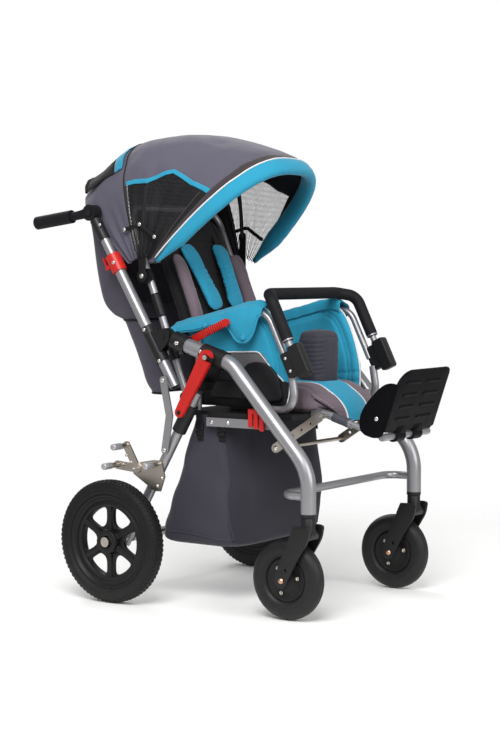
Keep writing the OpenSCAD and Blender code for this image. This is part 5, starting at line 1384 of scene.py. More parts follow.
def laidOut(name, spotsOut, part, finish, turnSpread=0.0, seed=4):
    mesh = bpy.data.meshes.new(name)
    mesh.from_pydata([tuple(p) for p, _, _ in spotsOut], [], [])
    for key, n in (("standOut", 1), ("standRun", 2)):
        layer = mesh.attributes.new(key, "FLOAT_VECTOR", "POINT")
        layer.data.foreach_set("vector", [c for spot in spotsOut for c in spot[n]])
    obj = linked(name, mesh)
    layout = obj.modifiers.new("layout", "NODES")
    layout.node_group = standing
    for label, value in (("Part", part), ("Finish", finishes[finish]), ("Size", 1.0), ("Turn Spread", turnSpread),
                         ("Seed", seed)):
        layout[inputNamed(standing, label)] = value
    applied(obj)
    return obj


def turned(name, profile, steps=20):  # a lathed part about z, radius and height in millimetres
    rows = [[Vector((r * math.cos(2 * math.pi * k / steps), r * math.sin(2 * math.pi * k / steps), h)) * mm
             for k in range(steps)]
            for r, h in profile]
    return solid(name, rows, "rivetSteel", Vector((0, 0, mix(profile[0][1], profile[-1][1], 0.5) * mm)))


def domeHead(r, h):
    return [(r * 0.96, -0.6),
            (r, 0.25 * h)] + [(r * math.cos(a), h * (0.25 + 0.75 * math.sin(a))) for a in spread(0.2, 1.5, 7)]


parts = {}


def partNamed(name, make):
    if name not in parts:
        parts[name] = make()
        parts[name].hide_render = True
    return parts[name]


def dropParts():
    for part in parts.values():
        bpy.data.objects.remove(part)
    parts.clear()


# knit along a path: each stitch lies along the run, on the outward side
def alongPath(path, step, outward):
    marks, left = [], step / 2
    for a, b in zip(path, path[1:]):
        gap = (b - a).length
        while gap > 1e-9 and left <= gap:
            p = a + (b - a) * (left / gap)
            marks.append((p, outward(p), (b - a).normalized()))
            left += step
        left -= gap
    return marks


def stitchPart():
    rows = []
    for s in spread(-1, 1, 7):
        f = math.sqrt(max(1 - s * s, 0.02))
        rows.append([Vector((s * 1.75, 0.42 * f * math.cos(k * math.pi / 3), 0.36 * f * math.sin(k * math.pi / 3)
                             + 0.28 * (1 - s * s))) * mm for k in range(6)])
    return solid("stitchPart", rows, "threadGrey", Vector((0, 0, 0.0002)))


def stitchLine(name, path, outward, body, finish, slot="grey_cloth", step=0.0046):
    marks = alongPath(path, step, outward)
    obj = laidOut(name, marks, partNamed("stitch", stitchPart), finish, 0.09)
    place(obj, body, slot)
    return obj


def surfacePath(obj, points, lift=0.0004):
    tree = surfaceOf(obj)
    found = [tree.find_nearest(p) for p in points]
    return [spot + normal * lift for spot, normal, _, _ in found], (lambda p: tree.find_nearest(p)[1])


# foam sleeve on the bumper bar
foam = {"path": [(434.9, 193, 642.4), (386.5, 193, 742), (352, 150, 751), (352, -150, 751), (386.5, -193, 742),
                 (434.9, -193, 642.4)], "r": 14.5, "bend": 34}


def makeBumperFoam():
    path = roundedPath([at(x, y, z) for x, y, z in foam["path"]], foam["bend"] * mm, 14)
    fine = []
    for a, b in zip(path, path[1:]):
        n = max(int((b - a).length / 0.005), 1)
        fine += [a.lerp(b, k / n) for k in range(n)]
    fine.append(path[-1])

    def sleeve(s):
        end = max(1 - min(s, 1 - s) * 160, 0)
        r = foam["r"] * mm * (1 - 0.14 * end ** 2)
        return r, r

    place(sweep("bumperFoam", fine, "foamBlack", sleeve, around=28), "bumper", "foam")


# wheels: profiles are (radius, across), turned about each axle
wheel = {"rear": {"x": 0, "z": 150, "y": 311}, "front": {"x": 472, "z": 95, "y": 247},
         "tyre": [(113.5, 14), (115, 17.5), (118, 20.5), (120.5, 21.2), (121.2, 22.2), (123, 22.4), (123.8, 21.8),
                  (128, 22.7), (134, 22.6),
                  (140, 20.6), (144, 17.2), (147, 12.4), (148.2, 7), (148.6, 0)],
         "front tyre": [(51, 9), (52.5, 13), (55, 16.5), (57, 17.2), (58, 18.8), (60.5, 19.4), (62, 18.9), (66, 21),
                        (72, 21.7), (79, 20.7), (86, 17),
                        (91, 11.5), (93.4, 5.5), (93.9, 1.9), (92.6, 1.3), (92.4, 0)],
         "front disc": [(0.5, 14.5), (7, 14.5), (8, 13.5), (20, 13.2), (21, 11.2), (26, 10.8), (43, 10.8), (46, 13),
                        (49.5, 13.4), (51.5, 11.8), (52.5, 9.5)],
         "rear hub": [(6.2, 13), (13.4, 13), (14, 14.2), (14.4, 22.2), (15.6, 23), (26.5, 23), (28.4, 22.2),
                      (29.4, 20), (30, 9), (30, 0)],
         "rim ring": [(84, 6), (85.5, 11), (88, 13), (92, 13.6), (94.5, 12.4), (98, 9.4), (104, 9), (107, 11.6),
                      (109, 16), (112, 17.6), (114.6, 17.2), (115, 12)],
         "windows": {"spoke": 8.2, "low": 38, "high": 86.5}, "web": 6.5, "bevel": 1.6}


def lathe(name, profile, hub, finish, steps=96, mirror=True):
    full = profile + [(r, -w) for r, w in reversed(profile) if abs(w) > 1e-6] if mirror else profile
    rows = [[hub + Vector((r * math.cos(a), 0, r * math.sin(a))) * mm + Vector((0, w * mm, 0))
             for a in fullTurn(steps)] for r, w in full]
    return skin(name, rows, finish, closeRow=True, closeAll=mirror)


def windowOutline(turn):  # one rounded opening between two spokes
    w = wheel["windows"]
    corners = []
    for r in (w["low"], w["high"]):
        half = math.pi / 6 - math.asin(w["spoke"] / r)
        corners.append([(r, turn - half), (r, turn + half)])
    (a, b), (c, d) = corners
    line = [a] + [(w["low"], mix(a[1], b[1], k / 6)) for k in range(1, 6)] + [b, d]
    line += [(w["high"], mix(d[1], c[1], k / 12)) for k in range(1, 12)] + [c]
    flatLine = [Vector((r * math.cos(t), r * math.sin(t), 0)) for r, t in line]
    for _ in range(2):  # the corners are cut back and rounded
        fine = []
        for p, q in zip(flatLine, flatLine[1:] + flatLine[:1]):
            n = max(int((q - p).length / 2.5), 1)
            fine += [p.lerp(q, k / n) for k in range(n)]
        for _ in range(14):
            fine = [(fine[k - 1] + fine[k] * 2 + fine[(k + 1) % len(fine)]) / 4 for k in range(len(fine))]
        flatLine = fine
    return flatLine


def flatWithHoles(name, outlines, thick, bevel, finish, toWorld):  # filled outlines with rounded edges
    curve = bpy.data.curves.new(name, "CURVE")
    curve.dimensions = "2D"
    curve.fill_mode = "BOTH"
    curve.extrude = (thick - bevel) * mm
    curve.bevel_depth = bevel * mm
    curve.bevel_resolution = 2
    for line in outlines:
        spline = curve.splines.new("POLY")
        spline.points.add(len(line) - 1)
        spline.points.foreach_set("co", [c for p in line for c in (p.x * mm, p.y * mm, 0, 1)])
        spline.use_cyclic_u = True
    shape = linked(name, curve)
    mesh = bpy.data.meshes.new_from_object(shape.evaluated_get(bpy.context.evaluated_depsgraph_get()))
    bpy.data.objects.remove(shape)
    mesh.transform(toWorld)
    mesh.materials.clear()
    dress(mesh, finish)
    obj = linked(name, mesh)
    return pointOut(obj)


def nutPart():  # hexagon nut with a washer and the end of its bolt
    rows = []
    for r, h, six in ((11, 0, 0), (11.4, 0.8, 0), (11, 1.6, 0), (8.6, 1.7, 1), (8.9, 2.4, 1), (8.9, 6.2, 1),
                      (8.0, 7.2, 1), (4.6, 7.3, 0), (4.6, 9.0, 0), (3.9, 9.9, 0), (0.2, 10.1, 0)):
        ring = []
        for k in range(36):
            a = 2 * math.pi * k / 36
            flat = math.cos(math.pi / 6) / math.cos((a % (math.pi / 3)) - math.pi / 6) if six else 1
            ring.append(Vector((r * flat * math.cos(a), r * flat * math.sin(a), h)) * mm)
        rows.append(ring)
    return solid("nutPart", rows, "brassNut", Vector((0, 0, 0.004)))


def capPart():  # round bolt head with a socket
    profile = [(4.9, -0.6), (5.0, 2.2), (4.4, 3.0), (2.6, 3.1), (2.5, 1.4), (0.2, 1.3)]
    return turned("capPart", profile, 24)


def knobPart():  # tread block
    rows = []
    for w, l, h in ((3.4, 4.6, -1.2), (3.4, 4.6, 0.6), (2.7, 3.9, 1.4)):
        rows.append([Vector((x, y, h)) * mm for x, y in ((-l, -w * 0.7), (l, -w), (l * 0.86, w * 0.7), (-l * 0.9, w))])
    return solid("knobPart", rows, "tyreRubber", Vector((0, 0, 0)))


def makeRearWheels():
    for name, side in sides.items():
        body = "rear_wheel_" + name
        hub = at(wheel["rear"]["x"], side * wheel["rear"]["y"], wheel["rear"]["z"])
        tyre = lathe("rearTyre_" + name, wheel["tyre"], hub, "tyreRubber", 120)
        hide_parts("rear_tyre_" + name)
        place(tyre, body, "tyre")
        marks = []
        for row, (r, across, lean) in enumerate(((148.2, 6.5, 0.1), (145.2, 15.4, 0.62))):
            for n in range(76):
                a = 2 * math.pi * (n + 0.5 * row) / 76
                for flip in (-1, 1):
                    t = a + (math.pi / 76 if flip > 0 else 0)
                    ahead = Vector((-math.sin(t), 0, math.cos(t)))
                    out = Vector((math.cos(t) * math.cos(lean), flip * math.sin(lean), math.sin(t) * math.cos(lean)))
                    spot = hub + Vector((math.cos(t) * r, flip * across, math.sin(t) * r)) * mm
                    marks.append((spot, out, out.cross(ahead)))
        place(laidOut("rearTread_" + name, marks, partNamed("knob", knobPart), "tyreRubber"), body, "tyre")
        outline = [Vector((100 * math.cos(a), 100 * math.sin(a), 0)) for a in fullTurn(120)]
        bore = [Vector((20 * math.cos(a), 20 * math.sin(a), 0)) for a in fullTurn(40)]
        stand = Matrix.Translation(hub) @ Matrix.Rotation(math.pi / 2, 4, "X")
        web = flatWithHoles("web", [outline, bore] + [windowOutline(math.pi / 6 + math.pi / 3 * k + math.pi / 2)
                                                      for k in range(6)], wheel["web"], wheel["bevel"],
                            "rimBlack", stand)
        pieces = [web, lathe("hubRing", wheel["rear hub"], hub, "rimBlack", 48),
                  lathe("rimRing", wheel["rim ring"], hub, "rimBlack", 120)]
        for k in range(6):  # rib along each spoke
            a = math.pi / 3 * k + math.pi / 2
            run = Vector((math.cos(a), 0, math.sin(a)))
            for flip in (-1, 1):
                line = [hub + run * r * mm + Vector((0, flip * h * mm, 0)) for r,
                        h in ((27, 11.5), (34, 8.6), (60, 7.2), (80, 7.6), (88, 9.2))]
                pieces.append(sweep("rib", throughPoints(line, 6), "rimBlack",
                                    lambda s: ((7.6 - 0.8 * s) * mm, 2.6 * mm), around=16, up=(0, 1, 0), square=0.45))
        rim = joined("rearRim_" + name, pieces)
        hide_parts("rear_rim_" + name)
        place(rim, body, "rim")
        marks = [(hub + Vector((0, side * 13 * mm, 0)), Vector((0, side, 0)), Vector((1, 0, 0.3)))]
        place(laidOut("hubNut_" + name, marks, partNamed("nut", nutPart), "brassNut"), body, "rivet_steel")


def makeFrontWheels():
    for name, side in sides.items():
        body = "front_wheel_" + name
        hub = at(wheel["front"]["x"], side * wheel["front"]["y"], wheel["front"]["z"])
        tyre = lathe("frontTyre_" + name, wheel["front tyre"], hub, "rollerRubber", 120)
        disc = lathe("frontDisc_" + name, wheel["front disc"], hub, "rimBlack", 96)
        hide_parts("front_wheel_" + name)
        place(tyre, body, "tyre")
        place(disc, body, "rim")
        marks = []
        for flip in (-1, 1):
            for k in range(3):
                a = math.radians(250 + 120 * k)
                spot = hub + Vector((33 * math.cos(a), 0, 33 * math.sin(a))) * mm + Vector((0, flip * 11 * mm, 0))
                marks.append((spot, Vector((0, flip, 0)), Vector((math.cos(a), 0, math.sin(a)))))
        place(laidOut("frontDiscBolts_" + name, marks, partNamed("cap", capPart), "zincSteel"), body, "zinc_steel")
        fork = "caster_" + name
        marks = [outMark(hub + Vector((0, flip * 31.5 * mm, 0)), flip) for flip in (-1, 1)]
        head = partNamed("axleHead",
                         lambda: turned("axleHead",
                                        [(7.4, -1), (7.6, 1.0), (6.4, 1.4), (5.2, 4.2), (3.0, 5.4), (0.2, 5.7)], 24))
        place(laidOut("frontAxleBolt_" + name, marks, head, "copperBolt"), fork, "rivet_steel")


# rivets and screws standing on the frame
def rivetSet(name, body, marks, r=5.0, h=2.6, finish="rivetSteel", slot="rivet_steel"):
    head = partNamed("rivet%d" % round(r * 10), lambda: turned("rivetHead", domeHead(r, h), 20))
    place(laidOut(name, marks, head, finish), body, slot)


def outMark(spot, side):  # a head standing straight out from one side
    return spot, Vector((0, side, 0)), Vector((1, 0, 0))


def sideMarks(points, y):
    return [outMark(at(x, side * y, z), side) for x, z in points for side in (-1, 1)]


# caster forks: collar, hood and two curved blades
fork = {"stem": (526, 247), "collar": [(12, 242.4), (15.2, 242.2), (16.3, 240.8), (16.3, 214), (17.2, 210),
                                       (19.5, 206)],
        "blade": [(506, 222), (544, 222), (546, 208), (541, 190), (528, 168), (512, 142), (498, 116), (487, 94),
                  (480, 82), (471, 79), (462, 83), (457, 92),
                  (458, 106), (466, 130), (478, 158), (490, 184), (499, 206)], "y": (26.2, 33)}


def latheUp(name, profile, x, y, finish, steps=48):
    rows = [[at(x + r * math.cos(a), y + r * math.sin(a), z) for a in fullTurn(steps)] for r, z in profile]
    return skin(name, rows, finish, closeRow=True, closeAll=True)


def makeForks():
    curve = [Vector((p.x, p.y, 0))
             for p in throughPoints([(x, z, 0) for x, z in fork["blade"]] + [(*fork["blade"][0], 0)], 6)[:-1]]
    for name, side in sides.items():
        body = "caster_" + name
        stemX, stemY = fork["stem"]
        pieces = []
        rows = [[at(stemX + r * math.cos(a), side * stemY + r * math.sin(a), z) for a in fullTurn(40)]
                for r, z in [(9, 242.4)] + fork["collar"] + [(20, 203)]]
        pieces.append(solid("collar", rows, "castBlack", at(stemX, side * stemY, 222)))
        rows = []
        for s in spread(0, 1, 12):  # hood spreading from the collar to the blades
            z = mix(219, 193, s)
            front, rear = mix(17, 22, ramp(s, 0, 0.7)), mix(17, 29, ramp(s, 0, 1))
            wide = mix(17, 33, ramp(s, 0, 0.75))
            rows.append([at(stemX + (front if c > 0 else rear) * c - 6 * s, side * stemY + wide * w, z)
                         for c, w in ovalRing(44, mix(1.0, 0.5, ramp(s, 0, 0.8)))])
        rows.append([p.lerp(sum(rows[-1], Vector()) / 44, 0.2) + Vector((0, 0, 0.004)) for p in rows[-1]])
        pieces.append(solid("hood", rows, "castBlack", at(stemX, side * stemY, 205)))
        low, high = fork["y"]
        for flip in (-1, 1):
            stand = Matrix.Translation(at(0, side * stemY + flip * (low + high) / 2,
                                          0)) @ Matrix.Rotation(math.pi / 2, 4, "X")
            slotHole = [Vector((484 + 5.4 * math.cos(a) * 0.9, 121 + 5.4 * math.sin(a), 0)) for a in fullTurn(16)]
            pieces.append(flatWithHoles("blade", [curve, slotHole], (high - low) / 2, 1.9, "castBlack", stand))
        obj = joined("casterFork_" + name, pieces)
        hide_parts("caster_fork_" + name)
        place(obj, body, "black_plastic")
        ring = latheUp("forkRing_" + name, [(12.4, 242.3), (15.6, 242.4), (16.2, 243.2), (16.2, 248.6), (15.4, 250.2),
                                            (12.4, 250.3)], stemX, side * stemY, "zincSteel")
        place(ring, body, "zinc_steel")


# footplate: rounded plate, curved wings, raised ribs
plate = {"hinge": (638.498, 421.576), "slope": 71.4, "up": (16, 165), "half": 116, "thick": 7, "near round": 56,
         "round": 14,
         "wing": [(0.06, -0.035), (-0.08, 0.01), (-0.145, 0.1), (-0.162, 0.21), (-0.158, 0.3), (-0.11, 0.378),
                  (-0.038, 0.42), (0.045, 0.439), (0.159, 0.442),
                  (0.286, 0.412), (0.422, 0.357), (0.563, 0.289), (0.685, 0.202), (0.746, 0.114), (0.768, 0.03),
                  (0.766, -0.035)]}


def footPlace(up, y, back):
    a = math.radians(plate["slope"])
    return at(plate["hinge"][0] + math.cos(a) * up - math.sin(a) * back, y, plate["hinge"][1] + math.sin(a) * up
              + math.cos(a) * back)


def makeFootplate():
    low, high = plate["up"]
    half = plate["half"]
    outline = []
    for cx, cy, turn, r in ((high - plate["round"], half - plate["round"], 0, plate["round"]),
                            (low + 6, half - 6, 90, 6), (low + 6, -half + 6, 180, 6),
                            (high - plate["near round"] * 0.72, -half + plate["near round"], 270, plate["near round"])):
        for k in range(13):
            a = math.radians(turn + 90 * k / 12)
            outline.append(Vector((cx + r * (0.72 if r > 50 else 1) * math.cos(a), cy + r * math.sin(a), 0)))
    o = footPlace(0, 0, -plate["thick"] / 2)
    u, w, n = (footPlace(1, 0, 0) - footPlace(0, 0, 0)) / mm, Vector((0, 1, 0)), (footPlace(0, 0, 1)
                                                                                  - footPlace(0, 0, 0)) / mm
    stand = Matrix(((u.x, w.x, n.x, o.x), (u.y, w.y, n.y, o.y), (u.z, w.z, n.z, o.z), (0, 0, 0, 1)))
    pieces = [flatWithHoles("sole", [outline], plate["thick"] / 2, 1.5, "footBlack", stand)]
    wing = throughPoints([(low + s * (high - low), b * (high - low), 0) for s, b in plate["wing"]], 5)
    wing = [Vector((p.x, p.y, 0)) for p in wing]
    for side in (-1, 1):
        o2 = footPlace(0, side * (half - 2.1), 0)
        stand2 = Matrix(((u.x, n.x, w.x, o2.x), (u.y, n.y, w.y, o2.y), (u.z, n.z, w.z, o2.z), (0, 0, 0, 1)))
        pieces.append(flatWithHoles("wing", [wing], 2.1, 1.0, "footBlack", stand2))
    for up in (46, 76, 106, 136):  # long ribs moulded on both faces
        for y0, y1 in ((-84, -12), (12, 92)):
            for back in (-plate["thick"] - 0.3, 0.3):
                line = [footPlace(up, mix(y0, y1, s), back) for s in spread(0, 1, 12)]
                pieces.append(sweep("rib", line, "footBlack",
                                    lambda s: (4.2 * mm * min(1, 0.45 + 8 * min(s, 1 - s)),
                                               1.5 * mm * min(1, 0.4 + 8 * min(s, 1 - s))), around=12, up=n))
    for y in (-60, 20):  # hinge barrels under the plate
        rows = [[footPlace(14.2 * math.cos(a), y + t, 14.2 * math.sin(a)) for a in fullTurn(28)]
                for t in (0, 0.8, 39.2, 40)]
        pieces.append(solid("barrel", rows, "footBlack"))
        rows = [[footPlace(a, y + t, b) for a, b in ((4, 11), (30, 0.5), (30, -6.5), (4, -12))] for t in (0.5, 39.5)]
        pieces.append(solid("web", rows, "footBlack"))
    obj = joined("footPlate", pieces)
    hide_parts("footplate")
    place(obj, "footplate", "black_plastic")
    marks = [outMark(footPlace(38, side * (half + 0.2), 24), side) for side in (-1, 1)]
    rivetSet("footRivets", "footplate", marks, 5.4, 3.0)


# folding stays of the hood, one pair outside each window
stays = {"y": 226.5, "points": [(-24, 906), (26.5, 918.5), (72, 888)], "wide": 4.6, "thick": 2.2}


def flatBar(name, a, b, y, wide, thick, finish):
    return sweep(name, [at(mix(a[0], b[0], k / 8), y, mix(a[1], b[1], k / 8)) for k in range(9)], finish,
                 lambda s: (wide * mm, thick * mm), around=16, up=(0, 1, 0), square=0.4)


def makeStays():
    pieces, marks = [], []
    a, b, c = stays["points"]
    for side in sides.values():
        pieces.append(flatBar("stay", a, b, side * stays["y"], stays["wide"], stays["thick"], "blackPlastic"))
        pieces.append(flatBar("stay", b, c, side * (stays["y"] + 4.2), stays["wide"], stays["thick"], "blackPlastic"))
        marks += [outMark(at(x, side * (stays["y"] + lift), z), side) for (x, z), lift in ((a, 2), (b, 6), (c, 6))]
    obj = joined("hoodStays", pieces)
    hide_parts("hood_stays")
    place(obj, "hood_mid", "black_plastic")
    rivetSet("stayRivets", "hood_mid", marks, 5.0, 2.6)


# rivets on the frame joints: body, distance out, places, then radius, height and any finish
plainRivet = (4.6, 2.4)
rivetPlaces = {"pushRivets": ("push_frame", 266, [(66, 664), (112, 590), (-28, 826)], plainRivet),
               "lugRivets": ("front_frame", 269, [(168, 634), (236, 616)], plainRivet),
               "railRivets": ("front_frame", 229.2, [(240, 446), (415, 446)], plainRivet),
               "bracketRivets": ("rear_frame", 261.6, [(116, 306), (103, 286)], plainRivet),
               "pivotBolts": ("backrest", 218, [(21.6, 793)], (6.0, 3.2)),
               "pivotRims": ("backrest", 216.6, [(21.6, 793)], (15.0, 2.0, "blackPlastic", "black_plastic")),
               "linkRivets": ("fold_links", 271, [(125.5, 543.6), (130.2, 375.3)], (5.6, 2.8)),
               "strutRivets": ("legrest_strut", 152, [(372, 385)], (6.0, 2.6))}
ownRivets = {"clawRivets_": ("brake_", 268, [(12, 356), (26, 340), (2, 334), (34, 324)], (3.6, 2.0)),
             "elbowRivet_": ("handle_", 262, [(-74, 918)], (4.2, 2.2))}  # one set on each side's own body


def makeRivets():
    for name, (body, y, points, head) in rivetPlaces.items():
        rivetSet(name, body, sideMarks(points, y), *head)
    for name, side in sides.items():
        for label, (body, y, points, head) in ownRivets.items():
            rivetSet(label + name, body + name, [outMark(at(x, side * y, z), side) for x, z in points], *head)


# pegs of the brake end in grey sleeves
pegs = {"claw": (320.6, [(12, 380), (-17, 331)]), "fixed": (316.6, [(106, 339)])}


def makePegCaps():
    for name, side in sides.items():
        for label, body in (("claw", "brake_" + name), ("fixed", "rear_frame")):
            far, points = pegs[label]
            caps = []
            for x, z in points:
                profile = [(7.1, far - 30), (8.1, far - 29), (8.2, far - 2), (7.2, far), (3.4, far + 0.6),
                           (0.3, far + 0.6)]
                rows = [[at(x + r * math.cos(a), side * y, z + r * math.sin(a)) for a in fullTurn(24)] for r,
                        y in profile]
                caps.append(solid("cap", rows, "pegGrey", at(x, side * (far - 14), z)))
            place(joined("pegCaps_" + label + "_" + name, caps), body, "zinc_steel")


# grip of the recline lever: ribs across its free end
lever = {"pivot": (161.926, 0, 634.344), "turn": 24, "first": 62, "step": 6.4, "ribs": 9,
         "faces": ((-220.2, -1), (-213.2, 1))}


def makeLeverRibs():
    a = math.radians(lever["turn"])
    run = Vector((math.cos(a), 0, math.sin(a)))
    rib = partNamed("leverRib",
                    lambda: solid("leverRib",
                                  [[Vector((x * w, y * w, h)) * mm for x,
                                    y in ((-1.7, -8.6), (1.7, -8.6), (1.7, 8.6), (-1.7, 8.6))] for w,
                                   h in ((1, -0.4), (1, 1.2), (0.72, 2.0))], "redPlastic", Vector((0, 0, 0.0005))))
    marks = []
    for k in range(lever["ribs"]):
        spot = at(*lever["pivot"]) + run * (lever["first"] + lever["step"] * k) * mm
        for y, out in lever["faces"]:
            marks.append((Vector((spot.x, y * mm, spot.z)), Vector((0, out, 0)), run))
    place(laidOut("leverRibs", marks, rib, "redPlastic"), "recline_lever", "red_plastic")


# three fingers of the tilt grip, outside the seat rail
tilt = {"fingers": (357, 373, 389), "half": 6, "low": 440, "longer": 4, "high": 478, "bridge": (349, 398, 472, 483)}


def makeTiltFingers():
    pieces = []
    for n, x in enumerate(tilt["fingers"]):
        ring = boxOutline(x - tilt["half"], x + tilt["half"], tilt["low"] - tilt["longer"] * n, tilt["high"], 4)
        pieces.append(pillow("finger", ring, lambda u, v, d: at(u, -235.5 + d, v), 2.6, 2.6, "redPlastic", rings=8,
                             fullness=5))
    ring = boxOutline(*tilt["bridge"], 3)
    pieces.append(pillow("bridge", ring, lambda u, v, d: at(u, -230 + d, v), 8, 8, "redPlastic", rings=8, fullness=6))
    place(joined("tiltFingers", pieces), "tilt_grip", "red_plastic")


# grey sleeves on the legrest's hanger tubes, with a lip at the far end
legSleeve = {"start": (466, 100, 473), "run": (0.958323, 0, -0.285688), "along": (38, 82), "r": 10.8, "lip": 0.7}


def makeSleeves():
    def wide(s):
        r = (legSleeve["r"] + legSleeve["lip"] * (s > 0.86)) * mm
        return r, r

    for name, side in sides.items():
        x, y, z = legSleeve["start"]
        path = [at(x, side * y, z) + Vector(legSleeve["run"]) * s * mm for s in spread(*legSleeve["along"], 20)]
        place(sweep("legrestSleeve_" + name, path, "greySleeve", wide, around=28), "legrest", "black_plastic")


# bumper sockets: a sleeve for the post and a clamp on the arm tube, and black sleeves on the back tubes
socket = {"mid": (456.5, 598), "run": (-0.437189, 0.899369), "y": 193, "sleeve": (11, -4, 17, 40, 13.6),
          "clamp": (-14, -2, 17, 31, 12),
          "rivets": ((-18, 14), (-18, -18)), "wraps": ((96, 150), (208, 268)), "wrapR": 11.6}


def makeSockets():
    ux, uz = socket["run"]
    pieces, marks = [], []
    for side in sides.values():
        for key in ("sleeve", "clamp"):
            ahead, up, halfAhead, halfUp, halfWide = socket[key]

            def stand(u, v, d):
                return at(socket["mid"][0] + ux * v + uz * u, side * (socket["y"] + d), socket["mid"][1] + uz * v
                          - ux * u)

            ring = boxOutline(ahead - halfAhead, ahead + halfAhead, up - halfUp, up + halfUp, 6)
            pieces.append(pillow(key, ring, stand, halfWide, halfWide, "castBlack", rings=10, fullness=9))
        marks += [outMark(stand(u, v, socket["clamp"][4] + 0.6), side) for u, v in socket["rivets"]]
    obj = joined("bumperSockets", pieces)
    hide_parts("bumper_sockets")
    place(obj, "front_frame", "black_plastic")
    rivetSet("socketRivets", "front_frame", marks, 3.8, 2.0)
    for name, side in sides.items():
        wraps = [sweep("wrap", [backPlace(u, side * 188, 0) for u in spread(low, high, 12)], "blackPlastic",
                       socket["wrapR"] * mm, around=24) for low, high in socket["wraps"]]
        place(joined("backSleeves_" + name, wraps), "backrest", "black_plastic")


# grey hip plate and rounded black cover between the seat and the side tube
hip = {"plate": [(255, 577), (362, 577), (368, 590), (352, 610), (262, 609)],
       "cover": [(296, 503), (398, 503), (404, 530), (392, 562), (366, 584), (330, 588), (302, 570)],
       "box": [(206, 505), (296, 505), (296, 540), (206, 540)]}


def makeHips():
    for name, side in sides.items():
        stand = Matrix(((1, 0, 0, axleX), (0, 0, 1, 0), (0, 1, 0, 0), (0, 0, 0, 1)))
        for label, y, thick, finish, slot in (("plate", 177.5, 1.6, "satinGrey", "zinc_steel"),
                                              ("cover", 180.5, 4.5, "blackPlastic", "black_plastic"),
                                              ("box", 179.5, 4.0, "castBlack", "black_plastic")):
            line = hip[label]
            if label == "cover":
                line = [(p.x, p.y) for p in throughPoints([(*q, 0) for q in line] + [(*line[0], 0)], 8)[:-1]]
            flat = flatWithHoles("hip" + label.capitalize() + "_" + name, [[Vector((x, z, 0)) for x, z in line]],
                                 thick, min(thick * 0.45, 1.8), finish,
                                 Matrix.Translation((0, side * y * mm, 0)) @ stand)
            place(flat, "front_frame", slot)


# teeth of the hood's zip and the needlework on the cloth
def makeZips():
    def tooth():
        rows = [[Vector((x * w, y * w, h)) * mm for x, y in ((-0.75, -2.3), (0.75, -2.3), (0.75, 2.3), (-0.75, 2.3))]
                for w, h in ((1, -0.3), (1, 0.9), (0.7, 1.3))]
        return solid("toothPart", rows, "rivetSteel", Vector((0, 0, 0.0004)))

    for name, side in sides.items():
        path = [hoodPoint(103.3, onSide(side, t), 2.0) for t in spread(2.8, 28.5, 90)]
        marks = alongPath(path, 0.0034, lambda p: Vector((0, side, 0.12)).normalized())
        followHood(laidOut("zipTeeth_" + name, marks, partNamed("tooth", tooth), "rivetSteel"))


def sewnOn(name, target, points, finish, body, slot="grey_cloth", step=0.0046):
    path, outward = surfacePath(bpy.data.objects[target], points)
    return stitchLine(name, smoothed(path, 2), outward, body, finish, slot, step)


def makeStitches():
    for name, side in sides.items():
        rows = [flapRow(x, side) for x in spread(flap["x"][0] + 4, flap["x"][1] - 4, 120)]
        sewnOn("flapStitch_" + name, "armFlap_" + name, [row[-4] + Vector((0, side * 0.002, 0)) for row in rows],
               "threadBlue", "front_frame")
        quilt = [at(x, side * (panel["y"][0] - 4), z) for x, z in insetLine(panel["outline"][3:15], 0.09, (270, 590))]
        sewnOn("panelStitch_" + name, "sidePanel_" + name, throughPoints(quilt, 10), "threadBlue", "front_frame")
        strap = back["strap"]
        (u0, y0), (u1, y1) = strap["low"], strap["high"]
        edge = [backPlace(mix(u0, u1, k / 30), side * (mix(y0, y1, k / 30) - (strap["half"] - 7)), strap["out"] + 30)
                for k in range(2, 29)]
        sewnOn("padStitch_" + name, "shoulderPad_" + name, edge, "threadBlue", "backrest")
    line = [at(x, y, z) for x, y, z in ((452, -128, 540), (468, -126, 520), (486, -110, 500), (497, -86, 478),
                                        (506, -56, 456))]
    sewnOn("apronStitch", "cushionApron", throughPoints(line, 12), "pipingWhite", "front_frame", step=0.007)
    for turn, label in ((49.4, "Front"), (106.9, "Rear")):
        path = [hoodPoint(turn, t, 0.5)
                for t in spread(42 if label == "Front" else 30, 138 if label == "Front" else 150, 160)]
        marks = alongPath(path, 0.005, lambda p: (p - at(hood["pivot"][0], 0, hood["pivot"][1])).normalized())
        followHood(laidOut("hoodStitch" + label, marks, partNamed("stitch", stitchPart), "threadGrey", 0.09))


makeBumperFoam()
makeRearWheels()
makeFrontWheels()
makeForks()
makeFootplate()
makeStays()
makeRivets()
makePegCaps()
makeLeverRibs()
makeTiltFingers()
makeSleeves()
makeSockets()
makeHips()
makeZips()
makeStitches()
dropParts()
print("details done")


# camera, light and floor
view = {"eye": (2648.93, -3576.80, 812.28), "turn": 34.4617, "down": 3.5194, "roll": 0.07, "lens": 83.37}
look = {"key": 120, "fill": 46, "rim": 40, "world": 0.52, "floor": (0.93, 0.93, 0.92), "fade": (0.95, 1.9)}


def addCamera():
    data = bpy.data.cameras.new("photoCamera")
    data.lens = view["lens"]
    data.sensor_width = 36
    data.clip_end = 40
    obj = linked("photoCamera", data)
    turn, down, roll = (math.radians(view[k]) for k in ("turn", "down", "roll"))
    ahead = Vector((-math.sin(turn) * math.cos(down), math.cos(turn) * math.cos(down), -math.sin(down)))
    right = Vector((math.cos(turn), math.sin(turn), 0))
    up = right.cross(ahead)
    right, up = right * math.cos(roll) + up * math.sin(roll), up * math.cos(roll) - right * math.sin(roll)
    obj.matrix_world = Matrix((right, up, -ahead)).transposed().to_4x4()
    obj.location = at(*view["eye"])
    scene.camera = obj


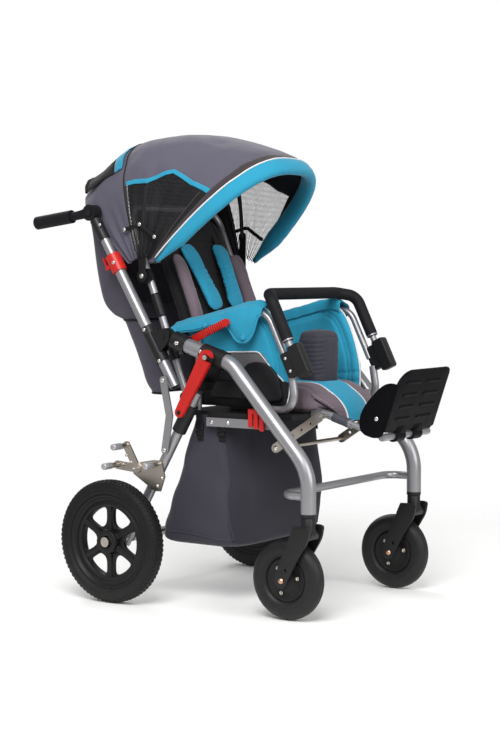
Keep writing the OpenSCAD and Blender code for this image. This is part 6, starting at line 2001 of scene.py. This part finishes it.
def addLamp(name, where, aim, size, power):
    data = bpy.data.lights.new(name, "AREA")
    data.shape = "DISK"
    data.size = size
    data.energy = power
    obj = linked(name, data)
    obj.location = Vector(where)
    obj.rotation_euler = (Vector(aim) - Vector(where)).to_track_quat("-Z", "Y").to_euler()


def addWorld():  # camera and clear rays meet plain white
    world = bpy.data.worlds.new("studio")
    scene.world = world
    world.use_nodes = True
    tree = world.node_tree
    base, white = tree.nodes["Background"], tree.nodes.new("ShaderNodeBackground")
    for node, strength in ((base, look["world"]), (white, 1)):
        setInputs(node, {"Color": (1, 1, 1, 1), "Strength": strength})
    path = tree.nodes.new("ShaderNodeLightPath")
    both = tree.nodes.new("ShaderNodeMixShader")
    seen = mathNode(tree, "MAXIMUM", path.outputs["Is Camera Ray"], path.outputs["Is Transmission Ray"])
    link(seen, both.inputs["Fac"])
    link(base.outputs[0], both.inputs[1])
    link(white.outputs[0], both.inputs[2])
    link(both.outputs[0], tree.nodes["World Output"].inputs["Surface"])


def addFloor():
    finishes["studioFloor"], tree, shader = shaded("studioFloor")
    setInputs(shader, {"Base Color": (*look["floor"], 1), "Roughness": 0.9, "Specular IOR Level": 0.1})
    coords = tree.nodes.new("ShaderNodeTexCoord")
    far = tree.nodes.new("ShaderNodeVectorMath")
    far.operation = "LENGTH"
    link(coords.outputs["Object"], far.inputs[0])
    fade = tree.nodes.new("ShaderNodeMapRange")  # the floor thins out into the white behind it
    fade.interpolation_type = "SMOOTHSTEP"
    near, gone = look["fade"]
    setInputs(fade, {"From Min": near, "From Max": gone, "To Min": 1, "To Max": 0})
    link(far.outputs["Value"], fade.inputs["Value"])
    link(fade.outputs[0], shader.inputs["Alpha"])
    floor = addPiece("studioFloor", [(-2, -2, 0), (2, -2, 0), (2, 2, 0), (-2, 2, 0)], [(0, 1, 2, 3)], "studioFloor",
                     smooth=False)


addCamera()
addWorld()
addFloor()
addLamp("keyLamp", (1.2, -2.6, 3.0), (0.1, 0, 0.5), 2.2, look["key"])
addLamp("fillLamp", (3.0, -0.6, 1.6), (0, 0, 0.6), 2.4, look["fill"])
addLamp("rimLamp", (-2.4, 1.2, 2.6), (0, 0, 0.7), 2.0, look["rim"])
scene.view_settings.view_transform = "Standard"
print("stage set")
